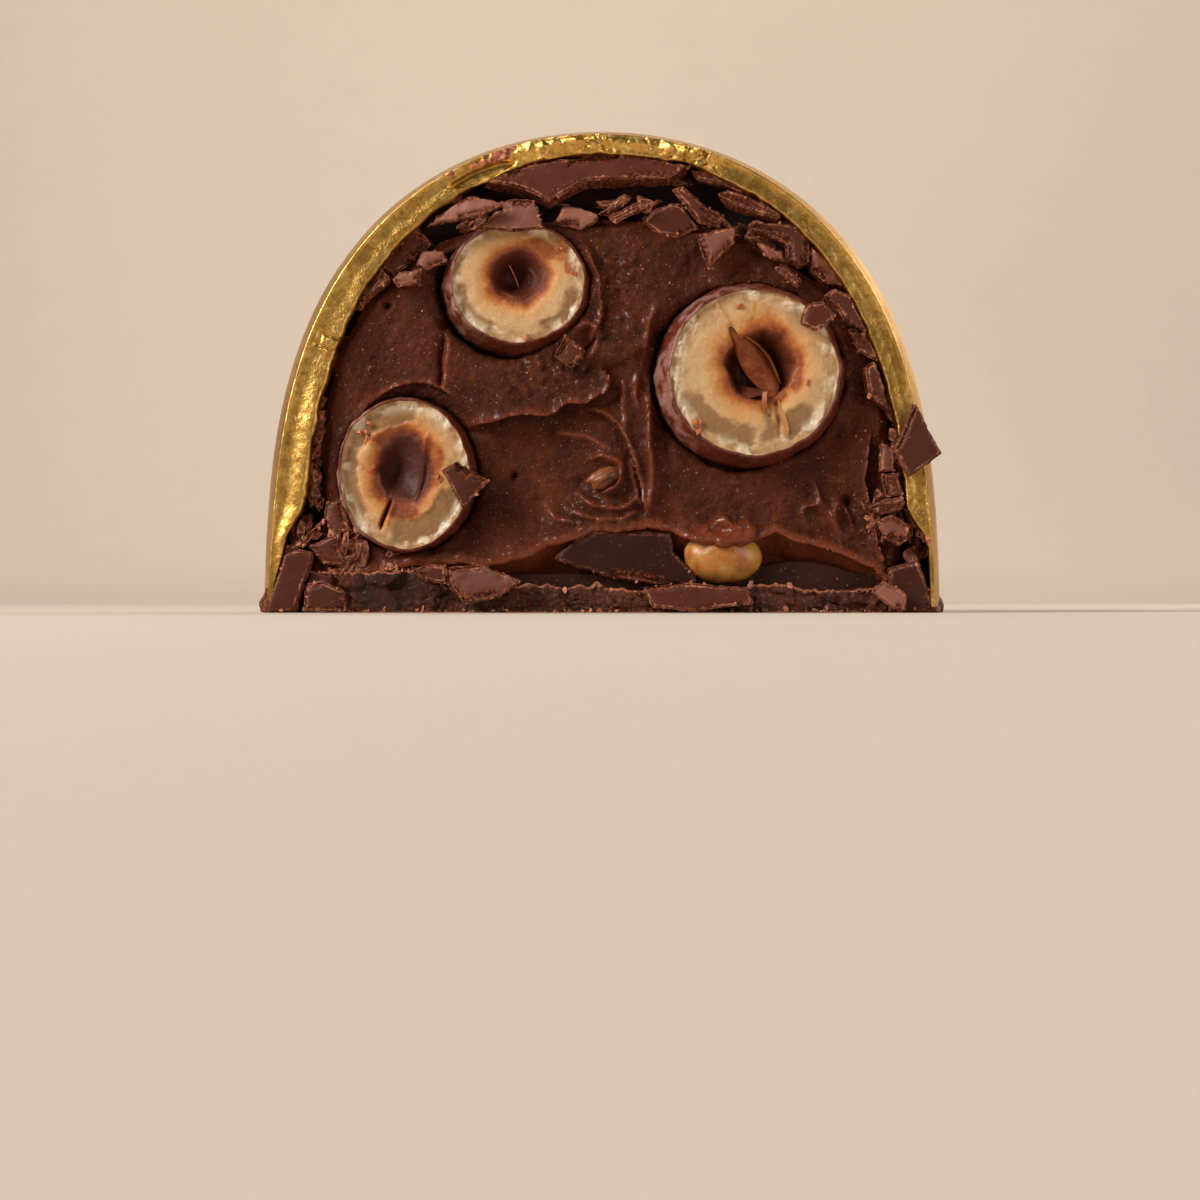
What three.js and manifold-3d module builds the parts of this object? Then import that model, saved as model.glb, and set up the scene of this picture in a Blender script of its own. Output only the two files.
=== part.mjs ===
// A domed chocolate bonbon, cut upright so that its inside shows.
//
// Units are millimetres, +Z is up and the dome's axis is the Z axis. The flat
// chocolate base stands on z = 0. The cut is a plane that faces -Y, a little in
// front of the axis, so more than half of the bonbon is left.
//
// From outside to inside: a gold-coated shell, a chocolate lining that has
// broken up at the cut, a soft filling with four hazelnuts, and the base. Most
// of the lining's broken pieces still stand in the cut, each one a solid.

import * as THREE from 'three';
import { mergeVertices } from 'three/addons/utils/BufferGeometryUtils.js';
import Module from 'manifold-3d';

// ---------------------------------------------------------------- dimensions

const DOME_RADIUS = 18; // outside of the shell at the base
const DOME_HEIGHT = 25.35;
const CUT_Y = -5.25; // the cut plane
const CLEARANCE = 0.25; // between pieces that lie against each other
const SMALL = 1e-4; // vertices closer than this are one vertex

// The dome's side: radius(t) = (radius - DRAFT t)(1 - t^CROWN_POWER)^(1/WALL_POWER)
const DRAFT = 0.65; // how far the side leans in towards the top
const CROWN_POWER = 3.0; // higher is a flatter top
const WALL_POWER = 2.1; // higher is a squarer shoulder

// Shell: thin at its foot, thick at the side, thinner again over the crown
const SHELL_FOOT_Z = 0.8;
const WALL_AT_FOOT = 0.45;
const WALL_AT_SIDE = 1.45;
const WALL_AT_CROWN = 1.0;
const WALL_GROWS_FROM_Z = 3.2;
const WALL_GROWS_TO_Z = 5.8;
const HOLLOW_SHIFT_X = 0.25; // the hollow is off centre: thicker wall on the left

// Base: a slab inside the shell, on a foot that sticks out under it
const BASE_TOP_Z = 1.35;
const BASE_SLAB_RADIUS = 17.0;
const FOOT_RADIUS = 18.15;
const FOOT_HEIGHT = 0.5;
const LEDGE = { halfWidth: 13.2, top: 2.0, setback: 1.15, depth: 0.85 }; // under the filling's lip

// Filling, and the lining between it and the shell
const FILLING_RADIUS = 15.3;
const FILLING_HEIGHT = 20.6;
const FILLING_BOTTOM_Z = BASE_TOP_Z + CLEARANCE;
const FILLING_SETBACK = 0.7; // how far its face lies behind the cut plane
const LINING_SETBACK = 2.2;
const CRUMBLE_ZONE = 0.78; // where the filling starts to round off, 1 is its edge
const CRUMBLE_DEPTH = 1.4;

// ------------------------------------------------------------------- helpers

const mix = (a, b, t) => a + (b - a) * t;

function smoothstep(from, to, value) {
  const t = THREE.MathUtils.clamp((value - from) / (to - from), 0, 1);
  return t * t * (3 - 2 * t);
}

const wasm = await Module();
wasm.setup();

// A closed geometry as a solid with its faces pointing out.
function toSolid(geometry) {
  const bare = geometry.clone();
  bare.deleteAttribute('normal');
  bare.deleteAttribute('uv');
  const merged = mergeVertices(bare, SMALL);
  const position = merged.attributes.position;
  const corner = (i) => new THREE.Vector3().fromBufferAttribute(position, i);
  const triangles = [];
  let sixVolumes = 0;
  for (let i = 0; i < merged.index.count; i += 3) {
    const [a, b, c] = [0, 1, 2].map((k) => merged.index.getX(i + k));
    if (a === b || b === c || c === a) continue;
    triangles.push([a, b, c]);
    sixVolumes += corner(a).dot(corner(b).cross(corner(c)));
  }
  const outward = sixVolumes < 0 ? triangles.map(([a, b, c]) => [a, c, b]) : triangles;
  return new wasm.Manifold(new wasm.Mesh({
    numProp: 3,
    vertProperties: new Float32Array(position.array),
    triVerts: new Uint32Array(outward.flat()),
  }));
}

function toGeometry(solid) {
  const mesh = solid.getMesh();
  const geometry = new THREE.BufferGeometry();
  geometry.setAttribute('position', new THREE.Float32BufferAttribute(mesh.vertProperties, 3));
  geometry.setIndex(Array.from(mesh.triVerts));
  geometry.computeVertexNormals();
  return geometry;
}

// A block between two corners.
function block([x0, y0, z0], [x1, y1, z1]) {
  const geometry = new THREE.BoxGeometry(x1 - x0, y1 - y0, z1 - z0);
  geometry.translate((x0 + x1) / 2, (y0 + y1) / 2, (z0 + z1) / 2);
  return toSolid(geometry);
}

const BIG = 2 * DOME_HEIGHT;

// What is left of a solid behind an upright plane.
function cutAt(y, solid) {
  return solid.subtract(block([-BIG, -BIG, -BIG], [BIG, y, BIG]));
}

// ---------------------------------------------------------------- the dome

function domeRadius(z, radius, height) {
  const t = THREE.MathUtils.clamp(z / height, 0, 1);
  return (radius - DRAFT * t) * (1 - t ** CROWN_POWER) ** (1 / WALL_POWER);
}

// A solid of revolution about Z. radiusAt is the base radius at a height.
function dome({ radiusAt, height, bottom, rings, sides, shiftX = 0 }) {
  const profile = [new THREE.Vector2(0, bottom)];
  for (let i = 0; i < rings; i += 1) {
    const u = 1 - (1 - i / rings) ** 2;
    const z = mix(bottom, height, u);
    profile.push(new THREE.Vector2(domeRadius(z, radiusAt(z), height), z));
  }
  profile.push(new THREE.Vector2(0, height));
  const geometry = new THREE.LatheGeometry(profile, sides);
  geometry.rotateX(Math.PI / 2);
  geometry.translate(shiftX, 0, 0);
  return toSolid(geometry);
}

function wallAt(z) {
  return mix(WALL_AT_FOOT, WALL_AT_SIDE, smoothstep(WALL_GROWS_FROM_Z, WALL_GROWS_TO_Z, z));
}

// The hollow of the shell, made smaller all round by a gap.
function shellHollow(gap, bottom, rings, sides) {
  return dome({
    radiusAt: (z) => DOME_RADIUS - wallAt(z) - gap,
    height: DOME_HEIGHT - WALL_AT_CROWN - gap,
    bottom,
    rings,
    sides,
    shiftX: HOLLOW_SHIFT_X,
  });
}

// The filling's outside, made larger all round by a gap.
function fillingDome(gap, bottom, rings, sides) {
  return dome({
    radiusAt: () => FILLING_RADIUS + gap,
    height: FILLING_HEIGHT + gap,
    bottom,
    rings,
    sides,
    shiftX: HOLLOW_SHIFT_X,
  });
}

function goldShell() {
  const outside = dome({
    radiusAt: () => DOME_RADIUS,
    height: DOME_HEIGHT,
    bottom: SHELL_FOOT_Z,
    rings: 18,
    sides: 54,
  });
  return cutAt(CUT_Y, outside.subtract(shellHollow(0, 0, 16, 48)));
}

function chocolateLining() {
  const outside = shellHollow(CLEARANCE, FILLING_BOTTOM_Z, 9, 36);
  const inside = fillingDome(CLEARANCE, 0, 9, 36);
  return cutAt(CUT_Y + LINING_SETBACK, outside.subtract(inside));
}

// The strip of base that shows under the filling's lip, set back from the cut.
function baseLedge(gap = 0) {
  const front = CUT_Y + LEDGE.setback;
  const halfWidth = LEDGE.halfWidth + gap;
  const back = front + LEDGE.depth;
  return block([-halfWidth, front - gap, FOOT_HEIGHT], [halfWidth, back + gap, LEDGE.top + gap]);
}

function chocolateBase() {
  const profile = [
    new THREE.Vector2(0, 0),
    new THREE.Vector2(FOOT_RADIUS, 0),
    new THREE.Vector2(FOOT_RADIUS, FOOT_HEIGHT),
    new THREE.Vector2(BASE_SLAB_RADIUS, FOOT_HEIGHT),
    new THREE.Vector2(BASE_SLAB_RADIUS, BASE_TOP_Z),
    new THREE.Vector2(0, BASE_TOP_Z),
  ];
  const geometry = new THREE.LatheGeometry(profile, 60);
  geometry.rotateX(Math.PI / 2);
  return cutAt(CUT_Y, toSolid(geometry)).add(baseLedge());
}

// ------------------------------------------------------------- hazelnuts

// centre: where the nut's axis meets its cut face. reach: half width, half
// depth and half height. faceRatio: the cut face's size beside the widest part.
// A nut without a hollow is whole.
const HAZELNUTS = [
  {
    name: 'hazelnut_top',
    centre: [-4.28, CUT_Y + 0.25, 16.84],
    reach: [4.15, 3.9, 3.6],
    faceRatio: 0.84,
    hollow: { width: 0.36, depth: 0.42 },
  },
  {
    name: 'hazelnut_right',
    centre: [7.64, CUT_Y - 0.6, 12.26],
    reach: [4.98, 4.6, 4.85],
    faceRatio: 0.87,
    hollow: { width: 0.42, depth: 0.5 },
  },
  {
    name: 'hazelnut_left',
    centre: [-10.0, CUT_Y - 0.25, 7.07],
    reach: [3.62, 3.6, 4.1],
    faceRatio: 0.93,
    hollow: { width: 0.34, depth: 0.42 },
  },
  {
    name: 'hazelnut_whole',
    centre: [6.24, CUT_Y - 0.25, 2.95],
    reach: [2.1, 1.55, 1.3],
    faceRatio: 0,
  },
];
const SKIN_STEP = 0.03; // the flesh lies this much below the skin's edge, as a share of size
const NUT_SIDES = 22;
const NUT_RINGS = 7;

// A nut of size 1, standing on its back at +Y, cut at -Y.
function nutProfile({ faceRatio, hollow }) {
  const whole = faceRatio === 0;
  const lastAngle = whole ? Math.PI : Math.PI - Math.asin(faceRatio);
  const profile = [];
  for (let i = 0; i <= NUT_RINGS; i += 1) {
    const angle = (lastAngle * i) / NUT_RINGS;
    profile.push(new THREE.Vector2(Math.abs(Math.sin(angle)), Math.cos(angle)));
  }
  if (whole) return profile;
  const face = Math.cos(lastAngle);
  const { width, depth } = hollow;
  const at = (r, y) => profile.push(new THREE.Vector2(r, y));
  at(faceRatio - 2 * SKIN_STEP, face + SKIN_STEP);
  at(mix(width, faceRatio, 0.35), face + SKIN_STEP / 2);
  at(width, face + depth * 0.2);
  at(width * 0.8, face + depth * 0.6);
  at(width * 0.4, face + depth * 0.95);
  at(0, face + depth);
  return profile;
}

// Distance from a nut's widest part forward to its face.
function nutFront({ reach, faceRatio }) {
  return reach[1] * Math.sqrt(1 - faceRatio ** 2);
}

function hazelnut(nut) {
  const geometry = new THREE.LatheGeometry(nutProfile(nut), NUT_SIDES);
  geometry.scale(...nut.reach);
  geometry.translate(nut.centre[0], nut.centre[1] + nutFront(nut), nut.centre[2]);
  return toSolid(geometry);
}

// The pocket in the filling round a nut: the nut's whole form, with clearance.
function nutPocket(nut) {
  const geometry = new THREE.SphereGeometry(1, 24, 14);
  geometry.rotateX(Math.PI / 2);
  geometry.scale(...nut.reach.map((size) => size + CLEARANCE));
  geometry.translate(nut.centre[0], nut.centre[1] + nutFront(nut), nut.centre[2]);
  return toSolid(geometry);
}

// A chip of nut bedded in the filling.
const CHIP = { centre: [0.13, CUT_Y + 0.55, 6.95], reach: [0.75, 0.6, 0.62] };

function nutChip(gap = 0) {
  const geometry = new THREE.DodecahedronGeometry(1);
  geometry.scale(...CHIP.reach.map((size) => size + gap));
  geometry.translate(...CHIP.centre);
  return toSolid(geometry);
}

// ------------------------------------------------------- the filling's face

// Strokes of the knife in the soft filling, as [x, z] along each stroke.
// rise lifts the crest towards the viewer, step lifts only the side above it.
const STROKES = [
  {
    path: [[-6.8, 9.7], [-4.0, 10.4], [-2.7, 10.4], [-1.8, 11.0], [-0.7, 10.9], [0.4, 11.9], [0, 13.1]],
    rise: 0.35,
    step: 0.6,
    width: 0.8,
  },
  {
    path: [[-0.7, 10.8], [0.2, 10.2], [1.1, 9.5], [1.9, 7.3], [2.4, 4.7]],
    rise: 0.5,
    step: 0.2,
    width: 0.6,
  },
  {
    path: [[2.6, 12.5], [2.5, 9.9], [2.6, 6.8], [2.4, 4.7]],
    rise: 0.4,
    step: 0,
    width: 0.6,
  },
  {
    path: [[-0.5, 19.1], [0.1, 16.1], [-0.1, 14.0], [-1.3, 12.7]],
    rise: 0.45,
    step: 0,
    width: 0.8,
  },
  {
    path: [[-8.2, 14.6], [-8.3, 11.6]],
    rise: -0.5,
    step: 0,
    width: 0.5,
  },
];

// The filling's torn lower lip, as [x, z] from left to right. Under it the face
// lies further back.
const LIP = [
  [-12.5, 1.8], [-9.6, 2.6], [-5.7, 2.6], [-3.9, 3.0], [-1.2, 4.0], [-0.3, 4.4], [3.7, 4.2],
  [5.1, 3.7], [6.9, 3.5], [9.0, 4.4], [11.7, 3.4], [14.0, 2.5], [14.8, 1.8],
];
const LIP_RISE = 0.35;
const LIP_WIDTH = 0.6;
const UNDERCUT = LEDGE.setback + LEDGE.depth + CLEARANCE - FILLING_SETBACK;
const FILLING_GRID = { columns: 38, rows: 25 };
const WAVES = [
  { along: 0.55, up: 0.31, phase: 0.4, swell: 0.1 },
  { along: -0.34, up: 0.83, phase: 2.1, swell: 0.08 },
];

// The nearest point of a stroke: its distance, and whether x, z lies above it.
function nearStroke(path, x, z) {
  const point = new THREE.Vector2(x, z);
  let distance = Infinity;
  let above = false;
  for (let i = 1; i < path.length; i += 1) {
    const start = new THREE.Vector2(...path[i - 1]);
    const along = new THREE.Vector2(...path[i]).sub(start);
    const share = point.clone().sub(start).dot(along) / along.lengthSq();
    const nearest = start.clone().addScaledVector(along, THREE.MathUtils.clamp(share, 0, 1));
    const offset = point.clone().sub(nearest);
    if (offset.length() < distance) {
      distance = offset.length();
      above = offset.y * Math.abs(along.x) - offset.x * along.y * Math.sign(along.x || 1) > 0;
    }
  }
  return { distance, above };
}

// How far x, z lies above the lip.
function aboveLip(x, z) {
  for (let i = 1; i < LIP.length; i += 1) {
    const [x0, z0] = LIP[i - 1];
    const [x1, z1] = LIP[i];
    if (x >= x0 && x <= x1) return z - mix(z0, z1, (x - x0) / (x1 - x0));
  }
  return z - FILLING_BOTTOM_Z;
}

// How far the filling's face stands towards the viewer at x, z.
function faceRelief(x, z) {
  const height = aboveLip(x, z);
  let relief = LIP_RISE * Math.exp(-(((height - LIP_WIDTH) / LIP_WIDTH) ** 2));
  for (const { along, up, phase, swell } of WAVES) {
    relief += swell * Math.sin(along * x + up * z + phase);
  }
  for (const { path, rise, step, width } of STROKES) {
    const { distance, above } = nearStroke(path, x, z);
    relief += rise * Math.exp(-((distance / width) ** 2));
    const side = above ? step * 0.4 : -step * 0.6;
    relief += side * Math.exp(-distance / (3 * width)) * smoothstep(0, width / 2, distance);
  }
  const t = z / FILLING_HEIGHT;
  const radius = Math.hypot(x - HOLLOW_SHIFT_X, CUT_Y + FILLING_SETBACK);
  const edge = (radius / (FILLING_RADIUS - DRAFT * t)) ** WALL_POWER + t ** CROWN_POWER;
  const crumbled = CRUMBLE_DEPTH * smoothstep(CRUMBLE_ZONE, 1, edge);
  const undercut = smoothstep(-LIP_WIDTH / 2, LIP_WIDTH / 4, height);
  return mix(-UNDERCUT, relief - crumbled, undercut);
}

function filling(cutters) {
  const top = FILLING_HEIGHT + 1;
  const height = top - FILLING_BOTTOM_Z;
  const geometry = new THREE.BoxGeometry(
    2 * DOME_RADIUS,
    2 * DOME_RADIUS,
    height,
    FILLING_GRID.columns,
    1,
    FILLING_GRID.rows,
  );
  geometry.translate(0, 0, FILLING_BOTTOM_Z + height / 2);
  const position = geometry.attributes.position;
  for (let i = 0; i < position.count; i += 1) {
    if (position.getY(i) < 0) {
      position.setY(i, CUT_Y + FILLING_SETBACK - faceRelief(position.getX(i), position.getZ(i)));
    }
  }
  const body = toSolid(geometry).intersect(fillingDome(0, 0, 10, 36));
  return cutters.reduce((solid, cutter) => solid.subtract(cutter), body);
}

// ------------------------------------------------- broken pieces of lining

// corners: the front outline as [x, z]. proud: how far the front stands out of
// the cut plane. thick: from front to back. lean tips the top back and turn
// swings the right side back, both in degrees. loose: lies in front of the rim.
const PIECES = {
  crown_slab: {
    proud: 0.05,
    thick: 1.5,
    lean: 4,
    corners: [
      [-5.7, 22.1], [-4.8, 22.7], [-1.7, 23.2], [1.2, 23.5], [2.6, 23.4], [4.4, 22.8], [3.4, 22.3],
      [1.4, 22.2], [-0.8, 22.1], [-1.9, 21.5], [-2.6, 21.1], [-3.5, 21.6], [-4.5, 21.9],
    ],
  },
  crown_sliver: {
    proud: -0.3,
    thick: 1.0,
    corners: [[4.8, 22.7], [7.1, 22.2], [8.2, 21.3], [7.4, 21.6], [6.6, 21.95], [5.1, 22.2]],
  },
  leaf: {
    proud: 1.0,
    thick: 0.5,
    lean: 4,
    corners: [
      [-9.4, 20.0], [-7.6, 21.2], [-6.5, 21.2], [-5.0, 20.7], [-5.7, 20.4], [-7.2, 20.1],
      [-8.6, 19.9],
    ],
  },
  plate: {
    proud: 0.42,
    thick: 0.5,
    lean: 3,
    corners: [
      [-6.3, 19.8], [-4.9, 20.6], [-5.2, 20.9], [-4.5, 21.1], [-3.5, 21.0], [-3.0, 19.7],
      [-4.4, 19.65],
    ],
  },
  rim_piece_left: {
    proud: -0.8,
    thick: 1.1,
    turn: -6,
    corners: [[-11.4, 18.1], [-10.3, 19.4], [-9.6, 19.9], [-8.9, 19.1], [-10.0, 18.1], [-10.7, 17.7]],
  },
  rim_tip_left: {
    proud: -0.1,
    thick: 0.8,
    turn: -8,
    corners: [[-12.5, 16.6], [-11.4, 17.8], [-10.9, 17.1], [-12.0, 16.2]],
  },
  crumb_left_high: {
    proud: -0.3,
    thick: 0.7,
    corners: [[-9.4, 18.0], [-9.1, 18.6], [-8.2, 18.5], [-8.0, 18.1], [-8.9, 17.8]],
  },
  crumb_left_low: {
    proud: 0.0,
    thick: 0.6,
    corners: [[-10.6, 17.2], [-10.2, 17.5], [-9.3, 17.6], [-9.4, 17.0], [-10.3, 16.9]],
  },
  cluster: {
    proud: -0.4,
    thick: 0.9,
    corners: [[-2.3, 20.1], [-1.9, 20.8], [-1.4, 20.9], [-0.3, 20.5], [-0.3, 20.2], [-1.1, 19.9]],
  },
  splinter_high: {
    proud: -0.35,
    thick: 0.5,
    corners: [[-0.1, 20.6], [1.1, 21.5], [1.4, 21.3], [0.4, 20.55]],
  },
  splinter_low: {
    proud: 0.3,
    thick: 0.5,
    corners: [[0.5, 20.4], [2.1, 21.1], [2.3, 20.8], [0.8, 20.1]],
  },
  hump: {
    proud: -0.55,
    thick: 0.9,
    corners: [[2.3, 20.2], [2.8, 20.7], [3.6, 21.0], [4.1, 20.9], [5.0, 19.9], [4.0, 19.5], [3.1, 19.6]],
  },
  slant: {
    proud: 0.25,
    thick: 0.6,
    turn: 5,
    corners: [[3.7, 21.6], [4.2, 21.7], [5.2, 21.0], [6.1, 20.3], [5.9, 19.9], [5.0, 20.1], [4.4, 20.9]],
  },
  slant_back: {
    proud: -0.6,
    thick: 0.8,
    corners: [[5.2, 20.9], [6.1, 20.7], [6.9, 19.8], [7.3, 19.5], [6.1, 19.8]],
  },
  triangle: {
    proud: 0.35,
    thick: 0.6,
    turn: 5,
    corners: [[5.0, 19.3], [6.9, 19.7], [6.7, 18.9], [5.6, 17.7]],
  },
  ridge: {
    proud: -0.1,
    thick: 0.9,
    lean: 4,
    corners: [[6.2, 21.4], [6.6, 21.6], [7.7, 21.3], [9.2, 20.5], [9.0, 20.2], [7.7, 20.6], [6.7, 21.0]],
  },
  long_piece_right: {
    proud: 0.0,
    thick: 0.9,
    turn: 4,
    corners: [
      [7.8, 20.0], [9.7, 19.8], [10.6, 19.2], [10.6, 18.1], [10.1, 17.9], [9.6, 18.2], [9.5, 18.9],
      [7.8, 19.6],
    ],
  },
  rim_piece_right: {
    proud: -0.3,
    thick: 1.0,
    turn: 6,
    corners: [[10.9, 19.0], [11.6, 18.3], [12.8, 16.7], [11.5, 17.1], [10.9, 17.6]],
  },
  chip_right_high: {
    proud: 0.25,
    thick: 0.5,
    corners: [[8.1, 18.8], [9.2, 18.5], [9.3, 18.1], [8.7, 18.2]],
  },
  chip_right_low: {
    proud: 0.1,
    thick: 0.4,
    corners: [[9.0, 17.6], [9.4, 17.8], [10.2, 17.1], [10.0, 16.8]],
  },
  rim_piece_right_mid: {
    proud: 0.0,
    thick: 0.9,
    turn: 6,
    corners: [
      [11.6, 16.2], [12.0, 16.5], [13.1, 16.0], [13.6, 15.0], [13.5, 14.5], [12.5, 15.1],
      [12.0, 15.8],
    ],
  },
  rim_piece_right_low: {
    proud: -0.1,
    thick: 0.7,
    corners: [[12.9, 14.5], [13.6, 14.2], [14.3, 13.4], [14.1, 13.1], [13.3, 13.5]],
  },
  rim_sliver_right: {
    proud: 0.0,
    thick: 0.9,
    turn: 8,
    corners: [[13.6, 12.5], [14.0, 12.8], [14.3, 12.2], [14.7, 10.5], [13.8, 11.2]],
  },
  crumb_on_nut: {
    proud: 1.15,
    thick: 0.4,
    loose: true,
    corners: [[10.3, 14.8], [10.5, 15.6], [11.3, 15.7], [11.8, 15.1], [11.4, 14.7], [10.9, 14.5]],
  },
  kite: {
    proud: 1.1,
    thick: 0.7,
    turn: 6,
    loose: true,
    corners: [[16.0, 10.5], [17.2, 8.2], [15.7, 7.0], [15.0, 8.3]],
  },
  kite_chip: {
    proud: -0.1,
    thick: 0.7,
    corners: [[14.5, 8.6], [15.0, 8.3], [15.0, 7.4], [14.4, 7.4]],
  },
  block_right: {
    proud: 0.0,
    thick: 0.9,
    corners: [[14.5, 7.0], [15.2, 7.0], [15.4, 6.1], [14.7, 6.0]],
  },
  sliver_right_low: {
    proud: 0.1,
    thick: 0.8,
    corners: [[13.7, 5.4], [14.6, 5.7], [15.4, 5.75], [15.4, 5.3], [14.4, 5.15]],
  },
  crumb_right_low: {
    proud: 0.2,
    thick: 1.0,
    corners: [[14.3, 4.6], [14.9, 4.9], [15.7, 4.4], [15.6, 3.8], [15.2, 3.5], [14.6, 3.9]],
  },
  corner_right: {
    proud: 0.1,
    thick: 1.4,
    corners: [[14.9, 2.2], [16.2, 2.5], [16.8, 1.2], [16.8, 0.15], [14.9, 0.15]],
  },
  crumb_corner_right: {
    proud: 0.85,
    thick: 0.5,
    loose: true,
    corners: [[13.9, 1.0], [14.4, 1.5], [15.6, 0.9], [15.4, 0.2], [14.9, 0.3]],
  },
  corner_left: {
    proud: 0.1,
    thick: 1.4,
    corners: [
      [-16.3, 2.9], [-15.6, 3.1], [-14.9, 3.0], [-15.2, 1.7], [-15.4, 0.15], [-16.8, 0.15],
      [-16.7, 1.2],
    ],
  },
  block_left_low: {
    proud: 0.3,
    thick: 0.8,
    corners: [[-15.0, 1.4], [-14.3, 1.5], [-13.3, 1.1], [-13.1, 0.15], [-15.1, 0.15]],
  },
  block_left_high: {
    proud: 0.0,
    thick: 0.9,
    corners: [[-15.0, 3.4], [-13.7, 3.9], [-13.3, 2.6], [-14.3, 2.6], [-14.7, 3.2]],
  },
  block_left_mid: {
    proud: -0.2,
    thick: 0.8,
    corners: [[-14.1, 2.3], [-12.9, 1.95], [-12.8, 1.45], [-13.9, 1.8]],
  },
  sliver_left_low: {
    proud: -0.1,
    thick: 0.7,
    corners: [[-16.3, 3.35], [-15.2, 4.0], [-14.3, 4.8], [-14.6, 4.15], [-15.3, 3.55], [-16.1, 3.15]],
  },
  flake_left: {
    proud: 0.0,
    thick: 0.6,
    turn: -6,
    corners: [[-14.0, 5.6], [-13.4, 5.7], [-13.1, 4.8], [-12.9, 4.3], [-13.7, 4.3], [-14.1, 4.9]],
  },
  plate_under_lip: {
    proud: -0.4,
    thick: 0.5,
    corners: [
      [-2.3, 2.8], [-1.3, 3.6], [-0.2, 4.1], [3.5, 4.0], [3.7, 3.1], [4.8, 2.0], [4.8, 1.5],
      [3.2, 1.6], [0.5, 1.9], [-1.2, 2.4],
    ],
  },
  slab_on_base_left: {
    proud: 0.95,
    thick: 0.6,
    loose: true,
    corners: [[-7.8, 2.2], [-6.0, 2.3], [-4.1, 1.6], [-5.2, 0.9], [-6.8, 0.55], [-7.7, 1.4]],
  },
  slab_on_base_right: {
    proud: 0.8,
    thick: 0.5,
    loose: true,
    corners: [[2.3, 1.2], [4.0, 1.4], [7.4, 1.2], [7.7, 0.5], [5.0, 0.2], [2.8, 0.3]],
  },
  chip_on_base: {
    proud: 0.5,
    thick: 0.5,
    corners: [[-9.6, 2.1], [-8.8, 2.4], [-8.05, 2.35], [-8.0, 1.6], [-9.0, 1.7]],
  },
  chip_on_nut: {
    proud: 1.0,
    thick: 0.5,
    turn: -6,
    loose: true,
    corners: [[-8.0, 7.2], [-7.3, 7.6], [-5.9, 6.7], [-7.0, 5.4]],
  },
  chip_centre: {
    proud: 0.2,
    thick: 0.8,
    corners: [[-1.8, 14.1], [-0.9, 13.5], [-1.5, 12.7], [-2.3, 13.2]],
  },
};
const CHAMFER = 0.12; // taken off the edges of a piece's front and back

// One piece, grown on every side by a gap when it is to cut its own place.
function brokenPiece({ corners, proud, thick, lean = 0, turn = 0 }, gap = 0) {
  const middle = new THREE.Vector2();
  for (const [x, z] of corners) middle.add(new THREE.Vector2(x, z).divideScalar(corners.length));
  const outline = corners.map(([x, z]) => new THREE.Vector2(x, z).sub(middle));
  const geometry = new THREE.ExtrudeGeometry(new THREE.Shape(outline), {
    depth: thick - 2 * CHAMFER,
    bevelThickness: CHAMFER,
    bevelSize: CHAMFER,
    bevelOffset: -CHAMFER,
    bevelSegments: 1,
  });
  geometry.rotateX(Math.PI / 2);
  geometry.translate(0, (thick - 2 * CHAMFER) / 2, 0);
  if (gap > 0) {
    geometry.computeBoundingBox();
    const size = geometry.boundingBox.getSize(new THREE.Vector3());
    geometry.scale(1 + (2 * gap) / size.x, 1 + (2 * gap) / size.y, 1 + (2 * gap) / size.z);
  }
  geometry.rotateX(THREE.MathUtils.degToRad(-lean));
  geometry.rotateZ(THREE.MathUtils.degToRad(turn));
  geometry.translate(middle.x, CUT_Y - proud + thick / 2, middle.y);
  return toSolid(geometry);
}

// -------------------------------------------------------------- the bonbon

const bonbon = new THREE.Group();

function add(name, solid, color, roughness, metalness = 0) {
  const material = new THREE.MeshStandardMaterial({ color, roughness, metalness });
  const mesh = new THREE.Mesh(toGeometry(solid), material);
  mesh.name = name;
  bonbon.add(mesh);
}

const GOLD = 0xc49a45;
const DARK_CHOCOLATE = 0x4f2f28;
const SNAPPED_CHOCOLATE = 0x5d3a33;
const FILLING_BROWN = 0x4a2416;
const NUT_CREAM = 0xd9b98a;
const BLANCHED_NUT = 0xc48f4a;
const BITS_BEDDED_IN_BASE = ['corner_left', 'corner_right', 'block_left_low'];
const BITS_BEDDED_IN_FILLING = [
  'chip_centre',
  'triangle',
  'block_left_mid',
  'block_left_high',
  'flake_left',
  'plate_under_lip',
  'chip_on_base',
];

const grownPiece = (name) => brokenPiece(PIECES[name], CLEARANCE);

add('gold_shell', goldShell(), GOLD, 0.32, 1);
const pockets = HAZELNUTS.map(nutPocket);
const lining = pockets.reduce((solid, pocket) => solid.subtract(pocket), chocolateLining());
add('chocolate_lining', lining, DARK_CHOCOLATE, 0.5);

const baseCutters = [...pockets, ...BITS_BEDDED_IN_BASE.map(grownPiece)];
const base = baseCutters.reduce((solid, cutter) => solid.subtract(cutter), chocolateBase());
add('chocolate_base', base, DARK_CHOCOLATE, 0.55);

const fillingCutters = [
  ...pockets,
  baseLedge(CLEARANCE),
  ...BITS_BEDDED_IN_FILLING.map(grownPiece),
  nutChip(CLEARANCE),
];
add('filling', filling(fillingCutters), FILLING_BROWN, 0.4);

for (const nut of HAZELNUTS) {
  add(nut.name, hazelnut(nut), nut.hollow ? NUT_CREAM : BLANCHED_NUT, 0.5);
}
add('nut_chip', nutChip(), BLANCHED_NUT, 0.6);

const cavity = shellHollow(CLEARANCE / 2, 0, 16, 48);
for (const [name, piece] of Object.entries(PIECES)) {
  const solid = brokenPiece(piece);
  add(name, piece.loose ? solid : solid.intersect(cavity), SNAPPED_CHOCOLATE, 0.5);
}

export default bonbon;
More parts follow.
